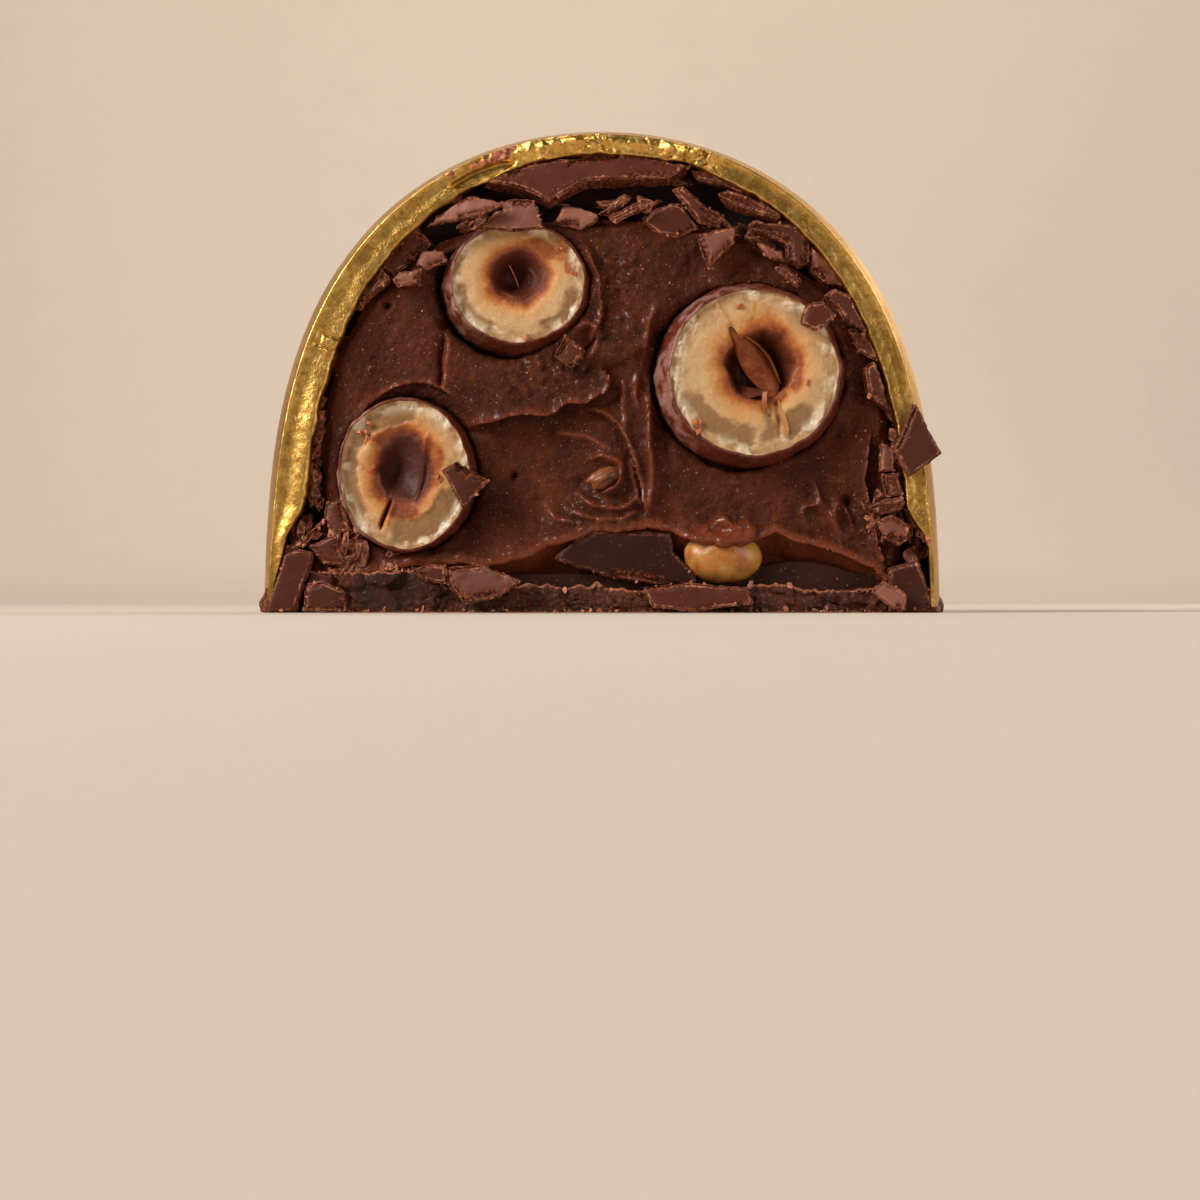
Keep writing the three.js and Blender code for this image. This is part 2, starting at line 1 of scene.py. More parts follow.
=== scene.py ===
# %% [markdown]
# # A cut chocolate bonbon
#
# A domed bonbon has been cut upright and stands on its flat chocolate base, with
# the cut towards the camera. A gold-coated shell holds a thin lining of chocolate
# that shattered under the knife, a soft hazelnut filling and four nuts. The packed
# model gives the place and size of each of them. This file gives them their skin:
# the torn lips of the filling, the snapped edges of the chocolate, the toasted
# hearts of the nuts and the brushed gold.

import bmesh
import bpy
import mathutils
import numpy as np
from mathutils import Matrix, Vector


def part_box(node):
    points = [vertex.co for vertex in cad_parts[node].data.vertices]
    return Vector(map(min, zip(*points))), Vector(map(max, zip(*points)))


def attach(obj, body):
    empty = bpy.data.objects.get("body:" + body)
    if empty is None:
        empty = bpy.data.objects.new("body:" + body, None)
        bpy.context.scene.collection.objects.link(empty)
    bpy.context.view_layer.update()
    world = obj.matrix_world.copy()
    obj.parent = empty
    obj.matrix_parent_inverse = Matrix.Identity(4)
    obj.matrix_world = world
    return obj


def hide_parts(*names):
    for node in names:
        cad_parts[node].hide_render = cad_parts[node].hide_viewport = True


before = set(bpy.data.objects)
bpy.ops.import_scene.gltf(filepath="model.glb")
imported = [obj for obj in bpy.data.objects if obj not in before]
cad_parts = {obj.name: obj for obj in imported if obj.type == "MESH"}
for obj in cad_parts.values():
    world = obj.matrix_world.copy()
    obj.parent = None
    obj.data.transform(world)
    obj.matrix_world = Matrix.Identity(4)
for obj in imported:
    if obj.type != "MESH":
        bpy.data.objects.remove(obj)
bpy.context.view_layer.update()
MM = 0.001

# %% [markdown]
# Everything below is worked out in millimetres, because that is how a bonbon is
# thought of, and turned into Blender's metres only when a mesh is made. The
# driving sizes of the dome come from the frame: the shell's own box gives its
# radius, its height and the plane of the cut.

# %% Sizes from the frame
def node_box(node):
    """A node's lowest and highest corner in millimetres."""
    low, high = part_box(node)
    return np.array(low) / MM, np.array(high) / MM


shell_low, shell_high = node_box("gold_shell")
filling_low, filling_high = node_box("filling")
base_low, base_high = node_box("chocolate_base")
DOME_RADIUS = (shell_high[0] - shell_low[0]) / 2
DOME_HEIGHT = shell_high[2]
SHELL_FOOT = shell_low[2]
CUT_Y = shell_low[1]
FOOT_RADIUS = base_high[0]
FILLING_FLOOR = filling_low[2]
FACE_Y = CUT_Y + 0.7  # the filling's face, a little behind the cut
print("dome radius", round(DOME_RADIUS, 2), "height", round(DOME_HEIGHT, 2), "cut at", CUT_Y)

# %% [markdown]
# The camera stands level with the base and looks straight at the cut, so no top
# of anything shows. Its place and lens were worked out from the outline of the
# dome and of the base in the picture, with a frame of 1200 by 1200 pixels.

# %% Camera
PICTURE = 1200
FOCAL_PIXELS = 2276
SENSOR = 36.0
CAMERA_PLACE = (1.66, -122.16, 0.655)
CAMERA_TURN = 0.78  # degrees to the left
SHIFT_PIXELS = 1.876

camera_data = bpy.data.cameras.new("camera")
camera_data.sensor_width = SENSOR
camera_data.lens = FOCAL_PIXELS * SENSOR / PICTURE
camera_data.shift_x = -SHIFT_PIXELS / PICTURE
camera_data.clip_start = 0.3 * MM
camera_data.clip_end = 10
camera = bpy.data.objects.new("camera", camera_data)
camera.location = [v * MM for v in CAMERA_PLACE]
camera.rotation_euler = (np.pi / 2, 0, np.radians(CAMERA_TURN))
bpy.context.scene.collection.objects.link(camera)
bpy.context.scene.camera = camera
print("lens", round(camera_data.lens, 2), "mm")

# %% [markdown]
# Food is uneven everywhere, and never by pure chance: a bump has a size and a
# place. The noise here is worked out from whole-number grid points, so the same
# bumps come out on every run. `noise` is one smooth layer of a named size,
# `layered` adds finer layers, and `pebbles` gives the rounded grains of a paste.

# %% Noise that is the same on every run
def hashed(cell, seed):
    """One number from 0 to 1 for each whole-number grid cell."""
    h = cell[:, 0] * 374761393 + cell[:, 1] * 668265263 + cell[:, 2] * 1440662683
    h = (h + seed * 362437) & 0xFFFFFFFF
    h = ((h ^ (h >> 13)) * 1274126177) & 0xFFFFFFFF
    return (h ^ (h >> 16)) / 0xFFFFFFFF


def noise(points, size, seed=0):
    """Smooth noise from -1 to 1 with bumps of that size."""
    place = points / size + 0.37 * seed
    cell = np.floor(place).astype(np.int64)
    share = place - cell
    share = share * share * (3 - 2 * share)
    total = np.zeros(len(points))
    for corner in np.ndindex(2, 2, 2):
        weight = np.prod(np.where(corner, share, 1 - share), axis=1)
        total += weight * hashed(cell + np.array(corner), seed)
    return 2 * total - 1


def layered(points, size, seed=0, layers=3):
    """Noise with finer and finer layers, each half as strong."""
    return sum(noise(points, size / 2**k, seed + k) / 2**k for k in range(layers))


def pebbles(points, size, seed=0):
    """Distance to the nearest of a scatter of points: 0 on a pebble's top, near 1 between."""
    place = points / size
    cell = np.floor(place).astype(np.int64)
    nearest = np.full(len(points), 9.0)
    for step in np.ndindex(3, 3, 3):
        near = cell + np.array(step) - 1
        spot = near + np.stack([hashed(near, seed + axis) for axis in range(3)], axis=1)
        nearest = np.minimum(nearest, np.linalg.norm(place - spot, axis=1))
    return nearest


def facets(points, size, seed=0):
    """Flat faces of about that size, each at its own height and tilt, as where something snapped."""
    place = points / size
    cell = np.floor(place).astype(np.int64)
    nearest = np.full(len(points), 9.0)
    height = np.zeros(len(points))
    for step in np.ndindex(3, 3, 3):
        near = cell + np.array(step) - 1
        off = place - near - np.stack([hashed(near, seed + axis) for axis in range(3)], axis=1)
        tilt = np.stack([hashed(near, seed + 3 + axis) for axis in range(3)], axis=1) - 0.5
        plane = hashed(near, seed + 6) - 0.5 + 1.6 * (off * tilt).sum(axis=1)
        distance = np.linalg.norm(off, axis=1)
        height = np.where(distance < nearest, plane, height)
        nearest = np.minimum(nearest, distance)
    return height


def vector_noise(points, size, seed=0):
    """Three noises at once, for pushing points about."""
    return np.stack([noise(points, size, seed + 7 * axis) for axis in range(3)], axis=1)


def smooth(low, high, value):
    """0 below low, 1 above high and a soft step between."""
    t = np.clip((value - low) / (high - low), 0, 1)
    return t * t * (3 - 2 * t)


def hill(value, width):
    """1 where the value is 0, falling off over the width."""
    return np.exp(-((value / width) ** 2))


def region(x, z, middle, size):
    """A soft oval patch from 0 to 1."""
    far = np.hypot((x - middle[0]) / size[0], (z - middle[1]) / size[1])
    return 1 - smooth(0.6, 1.15, far)


print("noise at the origin", noise(np.zeros((1, 3)), 1.0))

# %% [markdown]
# Meshes are made from arrays: a list of points, a list of faces and some masks,
# which are numbers from 0 to 1 kept at each point. A mask tells the material
# where a crumbly edge, a thin lip or a toasted ring is, so the colour follows the
# shape exactly.

# %% Making a piece
def new_piece(name, points, faces, masks=None, hole_fill=False, crisp=None):
    """A mesh object from millimetre points, faces and masks; edges above the crisp angle stay sharp."""
    mesh = bpy.data.meshes.new(name)
    mesh.from_pydata(np.asarray(points) * MM, [], np.asarray(faces).tolist())
    for mask, values in (masks or {}).items():
        layer = mesh.attributes.new(mask, "FLOAT", "POINT")
        layer.data.foreach_set("value", np.asarray(values, dtype=np.float32))
    work = bmesh.new()
    work.from_mesh(mesh)
    bmesh.ops.remove_doubles(work, verts=work.verts, dist=0.0005 * MM)
    if hole_fill:
        rim = [edge for edge in work.edges if edge.is_boundary]
        bmesh.ops.holes_fill(work, edges=rim, sides=0)
    bmesh.ops.recalc_face_normals(work, faces=work.faces)
    work.to_mesh(mesh)
    work.free()
    mesh.shade_smooth()
    if crisp is not None:
        mesh.set_sharp_from_angle(angle=np.radians(crisp))
    piece = bpy.data.objects.new(name, mesh)
    bpy.context.scene.collection.objects.link(piece)
    return piece


def grid_faces(rows, columns, ring=False):
    """The four-sided faces of a grid of points, closed round if it is a ring."""
    row = np.arange(rows - 1)[:, None]
    column = np.arange(columns if ring else columns - 1)[None, :]
    after = (column + 1) % columns
    here = row * columns
    corners = [here + column, here + after, here + columns + after, here + columns + column]
    return np.stack(corners, axis=-1).reshape(-1, 4)


def dress(piece, finish, slot, *nodes):
    """Gives a piece its material and its body, and hides the nodes it stands for; the slot is not used."""
    piece.data.materials.clear()
    piece.data.materials.append(finish)
    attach(piece, "root")
    if nodes:
        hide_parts(*nodes)
    piece.data.calc_loop_triangles()
    print(piece.name, len(piece.data.loop_triangles), "triangles")


# %% [markdown]
# A material is a small sum: chocolate brown, plus a paler tone where the edge
# crumbled, plus specks. Written as Python expressions it reads like that sum.
# `Value` wraps one socket and turns `+`, `-`, `*` and `/` into Math nodes.
# `Finish` starts a material and adds every other kind of node.

# %% Shader expressions
class Value:
    """One shader socket that can be used in sums."""

    def __init__(self, finish, socket):
        self.finish = finish
        self.socket = socket

    def _math(self, operation, first, second):
        return self.finish.node("ShaderNodeMath", {"operation": operation}, {0: first, 1: second})

    def __add__(self, other):
        return self._math("ADD", self, other)

    def __sub__(self, other):
        return self._math("SUBTRACT", self, other)

    def __rsub__(self, other):
        return self._math("SUBTRACT", other, self)

    def __mul__(self, other):
        return self._math("MULTIPLY", self, other)

    def __truediv__(self, other):
        return self._math("DIVIDE", self, other)

    __radd__ = __add__
    __rmul__ = __mul__


class Finish:
    """A material being made. Constants go straight onto the shader's sockets."""

    def __init__(self, name, constants):
        self.material = bpy.data.materials.new(name)
        self.material.use_nodes = True
        self.tree = self.material.node_tree
        self.shader = self.tree.nodes["Principled BSDF"]
        for socket, value in constants.items():
            self.shader.inputs[socket].default_value = value

    def node(self, kind, settings, sockets, output=0):
        """Adds a node: its settings first, then numbers or links for its sockets."""
        made = self.tree.nodes.new(kind)
        for setting, value in settings.items():
            if setting == "stops":
                while len(made.color_ramp.elements) < len(value):
                    made.color_ramp.elements.new(0.5)
                for element, (place, colour) in zip(made.color_ramp.elements, value):
                    element.position = place
                    element.color = colour
            else:
                setattr(made, setting, value)
        for socket, value in sockets.items():
            if isinstance(value, Value):
                self.tree.links.new(value.socket, made.inputs[socket])
            else:
                made.inputs[socket].default_value = value
        return Value(self, made.outputs[output])

    def place(self):
        return self.node("ShaderNodeTexCoord", {}, {}, "Object")

    def stretched(self, scale):
        """The place with each axis scaled, for grain that runs one way."""
        sockets = {0: self.place(), 1: scale}
        return self.node("ShaderNodeVectorMath", {"operation": "MULTIPLY"}, sockets)

    def mask(self, name):
        return self.node("ShaderNodeAttribute", {"attribute_name": name}, {}, "Fac")

    def grain(self, size, detail=3, rough=0.5, place=None, warp=0.0):
        """Noise from 0 to 1 with grains of that size in millimetres."""
        sockets = {
            "Vector": place or self.place(),
            "Scale": 1 / (size * MM),
            "Detail": detail,
            "Roughness": rough,
            "Distortion": warp,
        }
        return self.node("ShaderNodeTexNoise", {}, sockets)

    def cells(self, size, feature="F1", place=None):
        """Distance to the nearest cell point, for grains and cracks."""
        sockets = {"Vector": place or self.place(), "Scale": 1 / (size * MM)}
        return self.node("ShaderNodeTexVoronoi", {"feature": feature}, sockets)

    def between(self, value, low, high):
        """0 below low, 1 above high and a soft step between."""
        sockets = {"Value": value, "From Min": low, "From Max": high}
        return self.node("ShaderNodeMapRange", {"interpolation_type": "SMOOTHSTEP"}, sockets)

    def tint(self, below, above, amount):
        """One colour laid over another."""
        sockets = {0: amount, 6: below, 7: above}
        return self.node("ShaderNodeMix", {"data_type": "RGBA"}, sockets, 2)

    def ramp(self, value, stops):
        return self.node("ShaderNodeValToRGB", {"stops": stops}, {0: value})

    def feed(self, socket, value):
        self.tree.links.new(value.socket, self.shader.inputs[socket])

    def bump(self, height, depth, below=None):
        """A normal from a height, depth millimetres high, on top of another normal."""
        sockets = {"Height": height, "Distance": depth * MM}
        if below is not None:
            sockets["Normal"] = below
        return self.node("ShaderNodeBump", {}, sockets)


def colour(red, green, blue):
    """A colour named as a picture shows it, 0 to 255, for a shader's linear light."""
    shares = np.array([red, green, blue]) / 255
    linear = np.where(shares <= 0.04045, shares / 12.92, ((shares + 0.055) / 1.055) ** 2.4)
    return (*(float(v) for v in linear), 1.0)


print("a mid brown in linear light:", [round(v, 3) for v in colour(90, 52, 40)])

# %% [markdown]
# The floor and the backdrop are one pale sweep of paper, so no horizon shows. It
# is flat under the bonbon and curls up far behind it. The key light is a soft
# panel high on the left, almost level with the cut, so it rakes across the torn
# paste and the snapped edges. A weak panel fills from the right, one behind on the
# right draws the rim, and one lights only the backdrop. The room itself is dark:
# a bright one would lay a pale veil over chocolate.

# %% Sweep and studio
PAPER = colour(226, 210, 193)
SWEEP_WIDTH = 900
SWEEP_FRONT = -520
SWEEP_BACK = 420
SWEEP_BEND = 160
SWEEP_TOP = 700


def paper_sweep():
    """A strip of paper that runs back along the floor and bends up into a wall."""
    bend = np.radians(np.linspace(0, 90, 24))
    line = [(SWEEP_FRONT, 0.0), (SWEEP_BACK - SWEEP_BEND, 0.0)]
    line += [
        (SWEEP_BACK - SWEEP_BEND + SWEEP_BEND * np.sin(t), SWEEP_BEND * (1 - np.cos(t)))
        for t in bend[1:]
    ]
    line.append((SWEEP_BACK, SWEEP_TOP))
    points = [(side * SWEEP_WIDTH, y, z) for y, z in line for side in (-1, 1)]
    sweep = new_piece("paper_sweep", points, grid_faces(len(line), 2))
    finish = Finish("paper", {"Roughness": 0.9, "Specular IOR Level": 0.1})
    fibre = finish.grain(9.0, detail=4)
    paler = tuple(min(1.0, v * 1.03) for v in PAPER[:3]) + (1.0,)
    floor_tone = tuple(v * 0.94 for v in PAPER[:3]) + (1.0,)
    rise = finish.node("ShaderNodeSeparateXYZ", {}, {0: finish.place()}, "Z")
    wall = finish.between(rise, 0.0, 8 * MM)
    finish.feed("Base Color", finish.tint(floor_tone, finish.tint(PAPER, paler, fibre), wall))
    sweep.data.materials.append(finish.material)


def soft_panel(name, place, size, watts, tone, target=(0, -4, 11)):
    """A soft light aimed at the bonbon. Places and sizes are in millimetres."""
    data = bpy.data.lights.new(name, "AREA")
    data.shape = "RECTANGLE"
    data.size = size[0] * MM
    data.size_y = size[1] * MM
    data.energy = watts
    data.color = tone
    light = bpy.data.objects.new(name, data)
    light.location = [v * MM for v in place]
    aim = np.array(target) - np.array(place)
    light.rotation_euler = mathutils.Vector(aim).to_track_quat("-Z", "Y").to_euler()
    bpy.context.scene.collection.objects.link(light)


paper_sweep()
LAMP_TONE = (1.0, 0.97, 0.93)
soft_panel("key_panel", (-200, -135, 155), (130, 130), 0.84, LAMP_TONE)
soft_panel("fill_panel", (230, -170, 70), (170, 170), 0.22, LAMP_TONE)
soft_panel("rim_panel", (200, 120, 140), (110, 110), 0.26, LAMP_TONE)
soft_panel("backdrop_panel", (0, 170, 330), (520, 110), 0.80, LAMP_TONE, target=(0, 420, 110))

world = bpy.data.worlds.new("studio")
bpy.context.scene.world = world
world.use_nodes = True
world.node_tree.nodes["Background"].inputs["Color"].default_value = colour(236, 222, 206)
world.node_tree.nodes["Background"].inputs["Strength"].default_value = 0.12
bpy.context.scene.view_settings.view_transform = "Standard"
print("stage set")

# %% [markdown]
# The dome is not a half ball: its sides stand almost upright and its crown is
# flat. One formula gives the radius at each height, and the shell, its hollow and
# the filling all use it with their own sizes. To draw such a surface behind an
# upright cut, rays are sent out from the middle of the base and stopped where
# they meet the dome.

# %% The dome's formula
DRAFT = 0.65
CROWN_POWER = 3.0
WALL_POWER = 2.1
HOLLOW_SHIFT = 0.25
WALL_FOOT = 0.45
WALL_SIDE = 1.45
WALL_CROWN = 1.0
WALL_GROWS = (3.2, 5.8)
FILLING_RADIUS = 15.3
FILLING_HEIGHT = 20.6


def shell_wall(z):
    """The shell's thickness: thin at its foot and full from a few millimetres up."""
    return WALL_FOOT + (WALL_SIDE - WALL_FOOT) * smooth(*WALL_GROWS, z)


DOMES = {
    "outside": (lambda z: DOME_RADIUS + 0 * z, DOME_HEIGHT, 0.0),
    "hollow": (lambda z: DOME_RADIUS - shell_wall(z), DOME_HEIGHT - WALL_CROWN, HOLLOW_SHIFT),
    "filling": (lambda z: FILLING_RADIUS + 0 * z, FILLING_HEIGHT, HOLLOW_SHIFT),
}


def dome_radius(z, dome):
    radius_at, height, _ = DOMES[dome]
    t = np.clip(z / height, 0, 1)
    return (radius_at(z) - DRAFT * t) * (1 - t**CROWN_POWER) ** (1 / WALL_POWER)


def reach(start, directions, dome):
    """How far the dome's surface lies from start along each direction."""
    near = np.zeros(len(directions))
    far = np.full(len(directions), 2 * DOME_RADIUS)
    for _ in range(36):
        middle = (near + far) / 2
        x, y, z = (start + middle[:, None] * directions).T
        inside = np.hypot(x - DOMES[dome][2], y) < dome_radius(z, dome)
        near = np.where(inside, middle, near)
        far = np.where(inside, far, middle)
    return near


def arch(angles, y, dome, floor):
    """The dome's outline in an upright plane, one point for each angle from +X over the top."""
    directions = np.stack([np.cos(angles), 0 * angles, np.sin(angles)], axis=1)
    start = np.array([DOMES[dome][2], y, floor])
    return start + reach(start, directions, dome)[:, None] * directions


def dome_back(angles, y, rows, dome, floor):
    """Rows of points over the dome from that plane to the back of its base."""
    start = np.array([DOMES[dome][2], 0, floor])
    front = arch(angles, y, dome, floor)
    tilt = np.arctan2(y, np.hypot(front[:, 0] - start[0], front[:, 2] - floor))
    made = [front]
    for share in np.linspace(0, 1, rows)[1:]:
        lean = tilt + (np.pi / 2 - tilt) * share
        directions = np.stack(
            [np.cos(angles) * np.cos(lean), np.sin(lean), np.sin(angles) * np.cos(lean)], axis=1
        )
        made.append(start + reach(start, directions, dome)[:, None] * directions)
    return np.array(made)


def even_angles(count, dome, floor):
    """Angles that step evenly along the arch of the cut."""
    fine = np.linspace(0, np.pi, 4000)
    line = arch(fine, CUT_Y, dome, floor)
    length = np.concatenate([[0], np.cumsum(np.linalg.norm(np.diff(line, axis=0), axis=1))])
    return np.interp(np.linspace(0, length[-1], count), length, fine)


print("arch top of the filling", arch(np.array([np.pi / 2]), FACE_Y, "filling", FILLING_FLOOR))

# %% [markdown]
# The gold shell is chocolate sprayed with gold lustre. Its cut rim is pressed,
# mottled gold with a bright thin lip on its outer edge. It could be a solidified
# dome, but then the rim would be a plain flat band. Here the shell is one closed
# mesh in three parts: the inner wall, the rim with its own relief, and the smooth
# outside. A lens-shaped bite near the crown lost its gold on the outer edge, a
# small block has cracked on the left, and a crinkle sits right of the crown.

# %% Gold shell
RIM_ROWS = 22
SHELL_COLUMNS = 860
BITE = np.array([-6.1, 22.55])  # the lens-shaped bite, as x and z
BARE_EDGE = np.array([-5.9, 23.2])
CRINKLE = np.array([5.1, 23.3])
CRACKED_BLOCK = np.array([-13.9, 13.9])
BARE_SPOT = np.array([16.75, 3.7])
RIM_FOOT = 0.3  # the gold runs down into the ragged foot of the base


def gold_shell():
    angles = even_angles(SHELL_COLUMNS, "outside", RIM_FOOT)
    outside = dome_back(angles, CUT_Y, 36, "outside", RIM_FOOT)
    inside = dome_back(angles, CUT_Y, 10, "hollow", RIM_FOOT)
    across = np.linspace(0, 1, RIM_ROWS)[:, None, None]
    # on the left the rim runs out thin towards the floor
    thin = 0.75 * (1 - smooth(RIM_FOOT, 3.4, inside[0][:, 2:])) * (inside[0][:, :1] < 0)
    inside[0] += thin * (outside[0] - inside[0])
    rim = inside[0] + across * (outside[0] - inside[0])
    w = np.broadcast_to(across[..., 0], rim.shape[:2]).ravel()
    flat = rim.reshape(-1, 3)
    thick = np.linalg.norm(outside[0] - inside[0], axis=1)
    thick = np.broadcast_to(thick, rim.shape[:2]).ravel()
    ragged = 0.10 * noise(flat, 1.1, 3) + 0.07 * noise(flat, 0.35, 4)
    inward = np.broadcast_to(inside[0] - outside[0], rim.shape).reshape(-1, 3)
    inward = inward / np.linalg.norm(inward, axis=1)[:, None]
    flat = flat + inward * (ragged * (1 - w) ** 2 * smooth(0.3, 1.0, thick))[:, None]
    # relief towards the viewer
    lip = hill(w - 0.93, 0.06)
    swollen = region(flat[:, 0], flat[:, 2], (-15.7, 7.6), (2.0, 5.8))
    relief = 0.08 * lip + 0.018 * layered(flat, 1.3, 5, 2) + 0.008 * layered(flat, 0.25, 8, 2)
    relief += swollen * (0.02 * layered(flat, 0.8, 9, 2) + 0.12 * (1 - smooth(0.12, 0.78, w)))
    # at the crown the gold is crumpled into small steps that face left, towards the light
    crown = region(flat[:, 0], flat[:, 2], (0.0, 24.4), (8.0, 1.9))
    steps = (flat[:, 0] + 0.5 * flat[:, 2]) / 1.1 + 1.6 * noise(flat, 1.7, 43)
    bright = smooth(-0.3, 0.4, noise(flat, 1.5, 44))
    relief += crown * (0.30 * bright * (steps - np.floor(steps)) + 0.06 * facets(flat, 0.35, 41))
    relief += crown * 0.14 * hill(w - 0.62, 0.22)
    relief -= 0.05 * hill(w - 0.55, 0.22) * smooth(0.6, 1.2, thick) * (1 - crown)
    relief -= 0.35 * smooth(0.86, 1.0, w) ** 3 + 0.3 * (1 - smooth(0.0, 0.12, w)) ** 2
    along = np.array([0.93, 0.37])
    off = (flat[:, [0, 2]] - BITE) @ np.array([along, [-along[1], along[0]]]).T
    bite = 1 - smooth(0.75, 1.0, np.hypot(off[:, 0] / 2.0, off[:, 1] / 0.36))
    crinkle = hill(np.linalg.norm(flat[:, [0, 2]] - CRINKLE, axis=1), 0.8)
    cracks = cracked_block(flat)
    relief += -0.32 * bite + crinkle * 0.38 * facets(flat, 0.62, 21) - 0.2 * cracks
    patch_x, patch_z = ((flat[:, [0, 2]] - BARE_EDGE) @ np.array([along, [-along[1], along[0]]]).T).T
    torn = layered(flat, 0.5, 31)
    patch = 1 - smooth(0.7, 1.1, np.hypot(patch_x / 1.45, patch_z / 0.26) + 0.7 * torn)
    relief += patch * 0.16 * (0.75 - pebbles(flat, 0.28, 22))
    flat[:, 1] -= relief
    rows = [*inside[:0:-1], *flat.reshape(rim.shape), *outside[1:]]
    bare = np.zeros((len(rows), SHELL_COLUMNS))
    first = len(inside) - 1
    spot = 1 - smooth(0.6, 1.1, np.linalg.norm(flat[:, [0, 2]] - BARE_SPOT, axis=1) / 0.3 + 0.3 * torn)
    bare[first : first + RIM_ROWS] = np.maximum(patch, spot).reshape(RIM_ROWS, -1)
    rim_mask = np.zeros_like(bare)
    rim_mask[first : first + RIM_ROWS] = 1
    inner = np.zeros_like(bare)
    inner[:first] = 1
    shade = np.zeros_like(bare)
    shade[first : first + RIM_ROWS] = np.clip(bite + cracks, 0, 1).reshape(RIM_ROWS, -1)
    masks = {
        "bare": bare.ravel(),
        "rim": rim_mask.ravel(),
        "inner": inner.ravel(),
        "shade": shade.ravel(),
    }
    points = np.array(rows).reshape(-1, 3)
    return new_piece("shell", points, grid_faces(len(rows), SHELL_COLUMNS), masks, hole_fill=True)


def cracked_block(flat):
    """The outline of a small block that has cracked loose in the rim."""
    off = flat[:, [0, 2]] - CRACKED_BLOCK
    turned = off @ np.array([[0.94, -0.34], [0.34, 0.94]]).T
    turned = turned + 0.05 * np.stack([noise(flat, 0.3, 51), noise(flat, 0.3, 52)], axis=1)
    box = np.maximum(np.abs(turned[:, 0]) / 0.62, np.abs(turned[:, 1]) / 0.3)
    return hill(box - 1, 0.16)


def gold_finish():
    """Gold lustre: satin metal with fine sprayed grain, scuffed where it was cut; its rim is mottled and carries
    painted glints.
    """
    finish = Finish("gold_lustre", {"Coat Roughness": 0.3})
    rim, bare, inner, shade = (finish.mask(m) for m in ("rim", "bare", "inner", "shade"))
    cloud = finish.grain(3.0, detail=3)
    speck = finish.grain(0.12, detail=2)
    fine = finish.grain(0.05, detail=2)
    gold = finish.tint(colour(210, 158, 82), colour(234, 186, 108), finish.between(cloud, 0.35, 0.65))
    gold = finish.tint(gold, colour(132, 92, 34), finish.between(speck, 0.60, 0.78) * 0.35)
    # mottling and painted highlight: the rim's ramp runs from dark olive mottles up to near-white glints that
    # stand in for reflections
    rim_mottle_and_glints = finish.ramp(
        finish.grain(0.30, detail=8, rough=0.78, warp=0.4),
        [
            (0.32, colour(150, 108, 40)),
            (0.46, colour(208, 158, 74)),
            (0.58, colour(234, 192, 110)),
            (0.70, colour(255, 238, 186)),
        ],
    )
    gold = finish.tint(gold, rim_mottle_and_glints, rim * 0.85)
    dull = finish.between(finish.grain(1.6, detail=4), 0.46, 0.66)
    gold = finish.tint(gold, colour(128, 92, 26), rim * dull * 0.45)
    gold = finish.tint(gold, colour(96, 70, 22), shade * 0.2)
    # painted highlight: fine near-white specks on the rim stand in for sparkle
    painted_glints = finish.between(finish.grain(0.07, detail=1), 0.66, 0.76)
    gold = finish.tint(gold, colour(255, 236, 170), rim * painted_glints * 0.5)
    crumb = finish.between(finish.grain(0.22, detail=4), 0.36, 0.64)
    chocolate = finish.tint(colour(96, 42, 22), colour(214, 128, 84), crumb)
    covered = 1 - finish.between(bare, 0.4, 0.6)
    finish.feed("Base Color", finish.tint(chocolate, gold, covered))
    finish.feed("Metallic", covered * (1 - inner * 0.7))
    finish.feed("Roughness", 0.36 + cloud * 0.10 + bare * 0.2 - rim * 0.10)
    dust = finish.bump(fine, 0.005)
    scratch = finish.bump(finish.grain(0.13, detail=4, rough=0.65) * rim, 0.026, dust)
    finish.feed("Normal", finish.bump(finish.grain(0.8, detail=3) * rim, 0.035, scratch))
    return finish.material


dress(gold_shell(), gold_finish(), "gold_coating", "gold_shell")

# %% [markdown]
# The filling is a soft, sticky hazelnut paste. The knife dragged it, so it tore
# into thin lips that hang over the hollows below them, and folded into long
# ridges. A sculptor would pull those shapes by hand. Here they are lines: each
# stroke is a short line on the face with a rise, a step or a dip. The face is a
# dense grid laid over the arch, and grid points close to a line are moved onto
# it, so a torn edge is one clean edge and not a staircase.

# %% Lines on the filling's face
def near_line(x, z, line):
    """Distance to a line, the offset, the side (+1 is left of the way it runs) and how far along."""
    best = np.full(len(x), np.inf)
    offset = np.zeros((2, len(x)))
    side = np.zeros(len(x))
    along = np.zeros(len(x))
    line = np.array(line, dtype=float)
    lengths = np.linalg.norm(np.diff(line, axis=0), axis=1)
    passed = 0.0
    for (x0, z0), (dx, dz), length in zip(line, np.diff(line, axis=0), lengths):
        t = np.clip(((x - x0) * dx + (z - z0) * dz) / length**2, 0, 1)
        off = np.array([x - x0 - t * dx, z - z0 - t * dz])
        distance = np.hypot(*off)
        closer = distance < best
        best = np.where(closer, distance, best)
        offset = np.where(closer, off, offset)
        side = np.where(closer, np.sign(dx * off[1] - dz * off[0]), side)
        along = np.where(closer, (passed + t * length) / lengths.sum(), along)
        passed += length
    return best, offset, side, along


def curved(points, steps=6):
    """A smooth line through the given points."""
    p = np.array([points[0], *points, points[-1]], dtype=float)
    made = []
    for a, b, c, d in zip(p, p[1:], p[2:], p[3:]):
        for t in np.arange(steps) / steps:
            made.append(
                0.5 * (2 * b + (c - a) * t + (2 * a - 5 * b + 4 * c - d) * t**2
                       + (3 * b - a - 3 * c + d) * t**3)
            )
    return np.array([*made, p[-1]])


